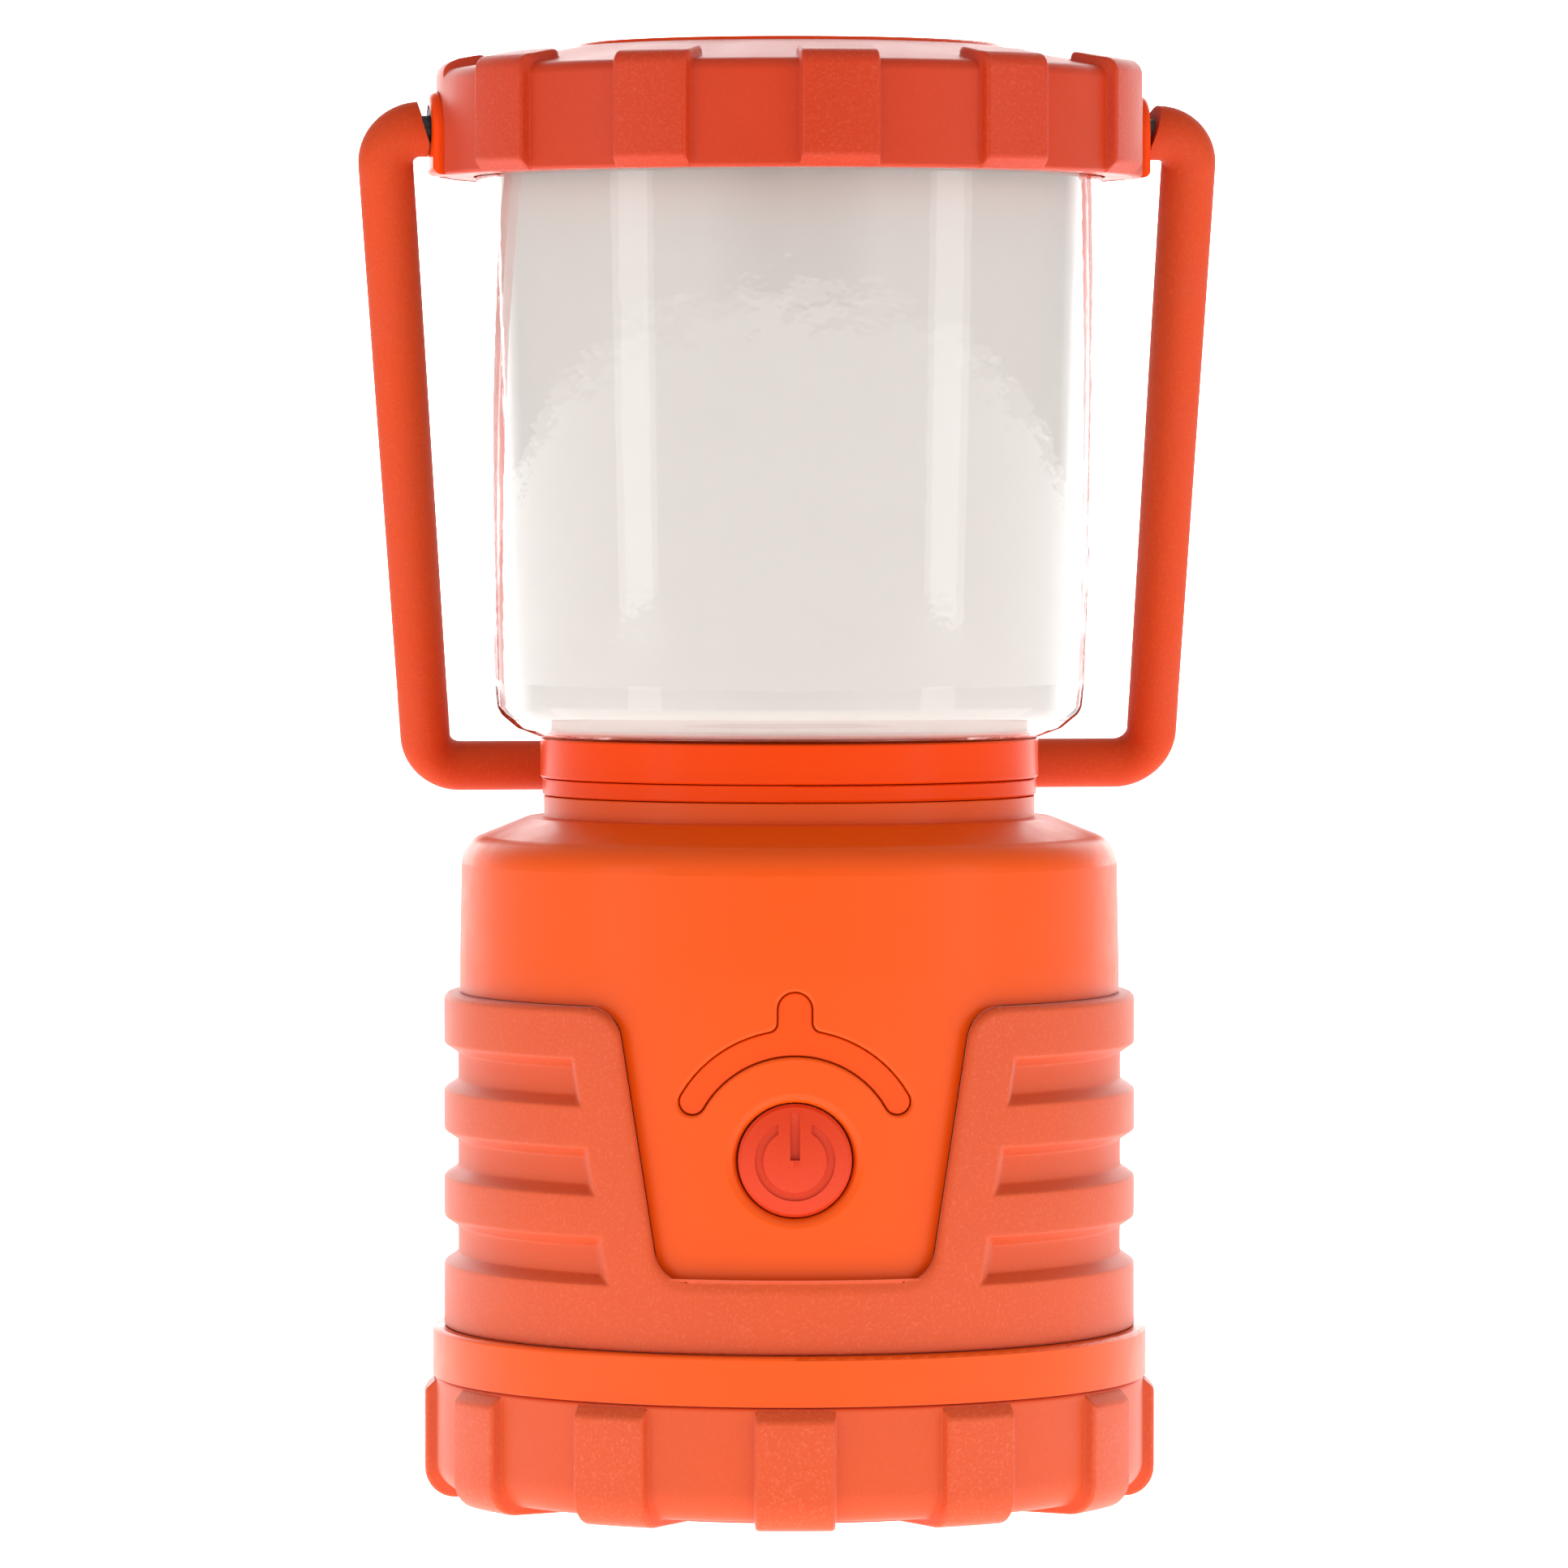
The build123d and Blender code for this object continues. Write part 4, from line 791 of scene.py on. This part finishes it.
def tube_rings(line, radii, sides, oblique=None, picks=slice(None)):
    """Rings around the picked points of a line in the bail's plane."""
    tangent = np.gradient(line, axis=0)
    tangent /= np.linalg.norm(tangent, axis=1)[:, None]
    normal = np.stack([-tangent[:, 1], tangent[:, 0]], axis=-1)
    line, normal = line[picks], normal[picks]
    around = np.linspace(0, 2 * pi, sides, endpoint=False)
    flat = line[:, None, :] + radii[:, None, None] * np.cos(around)[None, :, None] * normal[:, None, :]
    if oblique:
        flat = oblique(flat)
    out = radii[:, None] * np.sin(around)[None, :]
    return (
        np.array([0, 0, pivot_z])
        + flat[..., :1] * head_x + flat[..., 1:] * bail_down + out[..., None] * bail_normal
    )


def build_handle():
    """The rubber sleeve of the bail and the steel wire that comes out of its ends."""
    sides, sleeve_end, sleeve_grain = 48, 46.12, 0.8
    bar_r, leg_r, bore_r, end_round = 3.2, 3.5, 1.8, 0.45
    end_slant, slant_from, slant_reach = 0.34, 0.6, -4
    line = bail_line(sleeve_end)
    travelled = np.concatenate([[0], np.cumsum(np.linalg.norm(np.diff(line, axis=0), axis=1))])
    share = np.abs(2 * travelled / travelled[-1] - 1)
    radii = lerp(bar_r, leg_r, soft_ramp(share - 0.3, 0.6, 0.05))

    def slant(flat):
        """The sleeve is cut so that its top is shorter than its underside."""
        flat = np.array(flat)
        up = -flat[..., 1]
        face = sleeve_end + end_slant * np.clip(up + slant_from, 0, None)
        cut = (np.abs(flat[..., 0]) < face) & (up > slant_reach)
        flat[..., 0] = np.where(cut, np.sign(flat[..., 0]) * face, flat[..., 0])
        return flat

    last = len(line) - 1
    picks = np.array([0, *range(last + 1), last])
    radii = radii[picks]
    radii[[0, -1]] -= end_round
    outer = tube_rings(line, radii, sides, slant, picks)
    bore = tube_rings(line, np.full(len(line), bore_r), sides, slant)[::-1]
    points = np.concatenate([outer, bore])
    faces = grid_faces(len(points), sides, close_rows=True, close_columns=True)
    new_piece(
        "handle_grip", points, faces, finishes["orange_sleeve"], "handle",
        ["handle_sleeve"], grain=np.full(points.shape[:2], sleeve_grain),
    )

    wire_end, wire_r, wire_sides, wire_chamfer = 41.6, 1.75, 32, 0.4
    line = bail_line(wire_end)
    outward = np.array([[wire_chamfer, 0.0]])
    line = np.concatenate([line[:1], line[:1] - outward, line[1:-1], line[-1:] + outward, line[-1:]])
    radii = np.full(len(line), wire_r)
    radii[[0, -1]] -= wire_chamfer
    points = tube_rings(line, radii, wire_sides).reshape(-1, 3)
    faces = [list(face) for face in grid_faces(len(line), wire_sides, close_columns=True)]
    faces += [list(range(wire_sides))[::-1], list(range(len(points) - wire_sides, len(points)))]
    new_piece("handle_rod", points, faces, finishes["dark_steel"], "handle", ["handle_wire"])


build_handle()

# ---------------------------------------------------------------- globe and diffuser


def curve_through(low, middle, high, count):
    """Points of the arc through three (radius, height) points."""
    (x1, y1), (x2, y2), (x3, y3) = low, middle, high
    system = np.array([[x2 - x1, y2 - y1], [x3 - x1, y3 - y1]])
    right = np.array([x2**2 - x1**2 + y2**2 - y1**2, x3**2 - x1**2 + y3**2 - y1**2]) / 2
    centre = np.linalg.solve(system, right)
    radius = np.hypot(*(np.array(low) - centre))
    start, stop = (atan2(y - centre[1], x - centre[0]) for x, y in (low, high))
    angles = np.linspace(start, stop, count)
    return centre + radius * np.stack([np.cos(angles), np.sin(angles)], axis=-1)


globe_bottom = 96.45
globe_top = float(globe_high[2])
globe_base = float(globe_low[2])
globe_outline = np.concatenate([
    rounded(
        (28.3, globe_base), (29.9, globe_base), (29.9, globe_bottom), (31.5, globe_bottom, 0.3),
        (34.6, 97.6, 2.0), (37.2, 99.7, 2.2), (37.5, 103.0), steps=6, closed=False,
    ),
    curve_through((37.55, 103.5), (38.9, 138.0), (39.7, 165.0), 24),
    rounded(
        (39.7, 165.5), (39.7, 170.6), (40.9, 170.6, 0.2), (40.9, globe_top, 0.3), (37.1, globe_top, 0.3),
        (37.1, 165.5), steps=3, closed=False,
    ),
    curve_through((37.1, 165.0), (36.35, 138.0), (35.0, 103.8), 24),
    rounded(
        (34.95, 103.3), (34.9, 100.2, 1.6), (33.0, 98.1, 1.2), (31.2, 97.4, 0.5), (28.3, 97.4, 0.4),
        (28.3, globe_base), steps=4, closed=False,
    )[:-1],
])
turned_piece(
    "globe_shell", globe_outline, finishes["clear_globe"], "head", ["globe"], sharp=50
)

diffuser_top = globe_top - 0.2
diffuser_outline = np.concatenate([
    rounded(
        (28.7, 97.75), (31.1, 97.75, 0.5), (32.8, 98.5, 1.2), (34.5, 100.5, 1.4), (34.45, 104.0),
        steps=5, closed=False,
    ),
    curve_through((34.4, 104.5), (36.0, 138.0), (36.75, 165.0), 20),
    rounded(
        (36.75, 166.0), (36.75, diffuser_top, 0.3), (35.55, diffuser_top, 0.3), (35.55, 166.0),
        steps=3, closed=False,
    ),
    curve_through((35.55, 165.0), (34.8, 138.0), (33.3, 104.8), 20),
    rounded((33.2, 104.3), (33.1, 101.2, 1.0), (30.6, 99.0, 1.0), (28.7, 99.0), steps=4, closed=False),
])
turned_piece(
    "light_diffuser", diffuser_outline, finishes["frosted_white"], "head", ["diffuser"],
    sharp=50,
)

# ---------------------------------------------------------------- stage, lights and camera


def softbox(name, where, target, width, height, power):
    """An area lamp that is turned towards its target."""
    light = bpy.data.lights.new(name, "AREA")
    light.shape = "RECTANGLE"
    light.size, light.size_y = width, height
    light.energy = power
    lamp = bpy.data.objects.new(name, light)
    lamp.location = where
    lamp.rotation_euler = (target - lamp.location).to_track_quat("-Z", "Y").to_euler()
    bpy.context.scene.collection.objects.link(lamp)


middle = (cad_box[0] + cad_box[1]) / 2

floor_radius, floor_sides = 4.0, 96
floor_mesh = bpy.data.meshes.new("floor")
floor_angles = np.linspace(0, 2 * pi, floor_sides, endpoint=False)
floor_ring = [(floor_radius * cos(angle), floor_radius * sin(angle), 0.0) for angle in floor_angles]
floor_mesh.from_pydata(floor_ring, [], [list(range(floor_sides))])
floor = bpy.data.objects.new("floor", floor_mesh)
bpy.context.scene.collection.objects.link(floor)
floor.location.z = cad_box[0].z - 0.0001
glowing_floor = moulded("glowing_floor", (0.93, 0.93, 0.93), 0.75, 3.0, 0.0, vary=0.004, specular=0.2)
floor_tree = glowing_floor.node_tree
floor_shader = next(node for node in floor_tree.nodes if node.type == "BSDF_PRINCIPLED")
floor_where = add(floor_tree, "ShaderNodeTexCoord").outputs["Object"]
# The floor glows like a light table, most strongly round the lantern's foot. This is a painted pool of light, and
# it also lights the lantern's lower parts from below.
from_axis = add(floor_tree, "ShaderNodeVectorMath", {0: floor_where}, operation="LENGTH").outputs["Value"]
glow = between(floor_tree, from_axis, 1.6, 0.7, 0.12, 0.5)
floor_tree.links.new(glow, floor_shader.inputs["Emission Strength"])
floor_shader.inputs["Emission Color"].default_value = (1.0, 1.0, 1.0, 1.0)
floor_mesh.materials.append(glowing_floor)

world = bpy.data.worlds.new("studio")
bpy.context.scene.world = world
world.use_nodes = True
sky = world.node_tree
sky.nodes.clear()
direction = add(sky, "ShaderNodeTexCoord").outputs["Generated"]
aimed = add(sky, "ShaderNodeSeparateXYZ", {"Vector": direction})

# The room is a little dimmer overhead and at the sides, and dark round the camera, so that the front
# keeps its depth. It is bright behind the object, which gives the pale rims. The camera sees plain white.
dome = between(sky, aimed.outputs["Z"], 1.0, 0.8, 0.15, 0.9)
front = between(sky, aimed.outputs["Y"], 0.25, 0.98, -0.985, -0.84)
flank = between(sky, aimed.outputs["Y"], 1.0, 0.6, -0.65, 0.1)
back = between(sky, aimed.outputs["Y"], 1.0, 6.5, 0.6, 0.96)
room = times(sky, times(sky, times(sky, dome, front), flank), back)
seen = add(sky, "ShaderNodeLightPath").outputs["Is Camera Ray"]
strength = add(sky, "ShaderNodeMath", {0: room, 1: seen}, operation="MAXIMUM").outputs[0]
background = add(sky, "ShaderNodeBackground", {"Color": (1.0, 1.0, 1.0, 1.0), "Strength": strength})
world_output = add(sky, "ShaderNodeOutputWorld")
sky.links.new(background.outputs[0], world_output.inputs["Surface"])

# Two upright strips make the two highlights on the globe
strip_away, strip_rise, strip_power = 1.3, 0.05, 2.0
strip_width, strip_height = 0.34, 1.3
for name, bearing in (("strip_left", radians(-61)), ("strip_right", radians(61))):
    spot = middle.copy()
    spot.x += strip_away * sin(bearing)
    spot.y -= strip_away * cos(bearing)
    spot.z += strip_rise
    softbox(name, spot, middle, strip_width, strip_height, strip_power)

camera_data = bpy.data.cameras.new("camera")
camera_data.sensor_width = 36.0
camera_data.lens = 209.5
camera = bpy.data.objects.new("camera", camera_data)
bpy.context.scene.collection.objects.link(camera)
axis_shift = -0.00067
orbit = radians(-0.95)
distance, eye_height, aim_height = 1.16, 0.1309, 0.0904
camera.location = (axis_shift + distance * sin(orbit), -distance * cos(orbit), eye_height)
aim = middle.copy()
aim.x, aim.y, aim.z = axis_shift, 0.0, aim_height
camera.rotation_euler = (aim - camera.location).to_track_quat("-Z", "Y").to_euler()
bpy.context.scene.camera = camera
bpy.context.scene.view_settings.view_transform = "Standard"
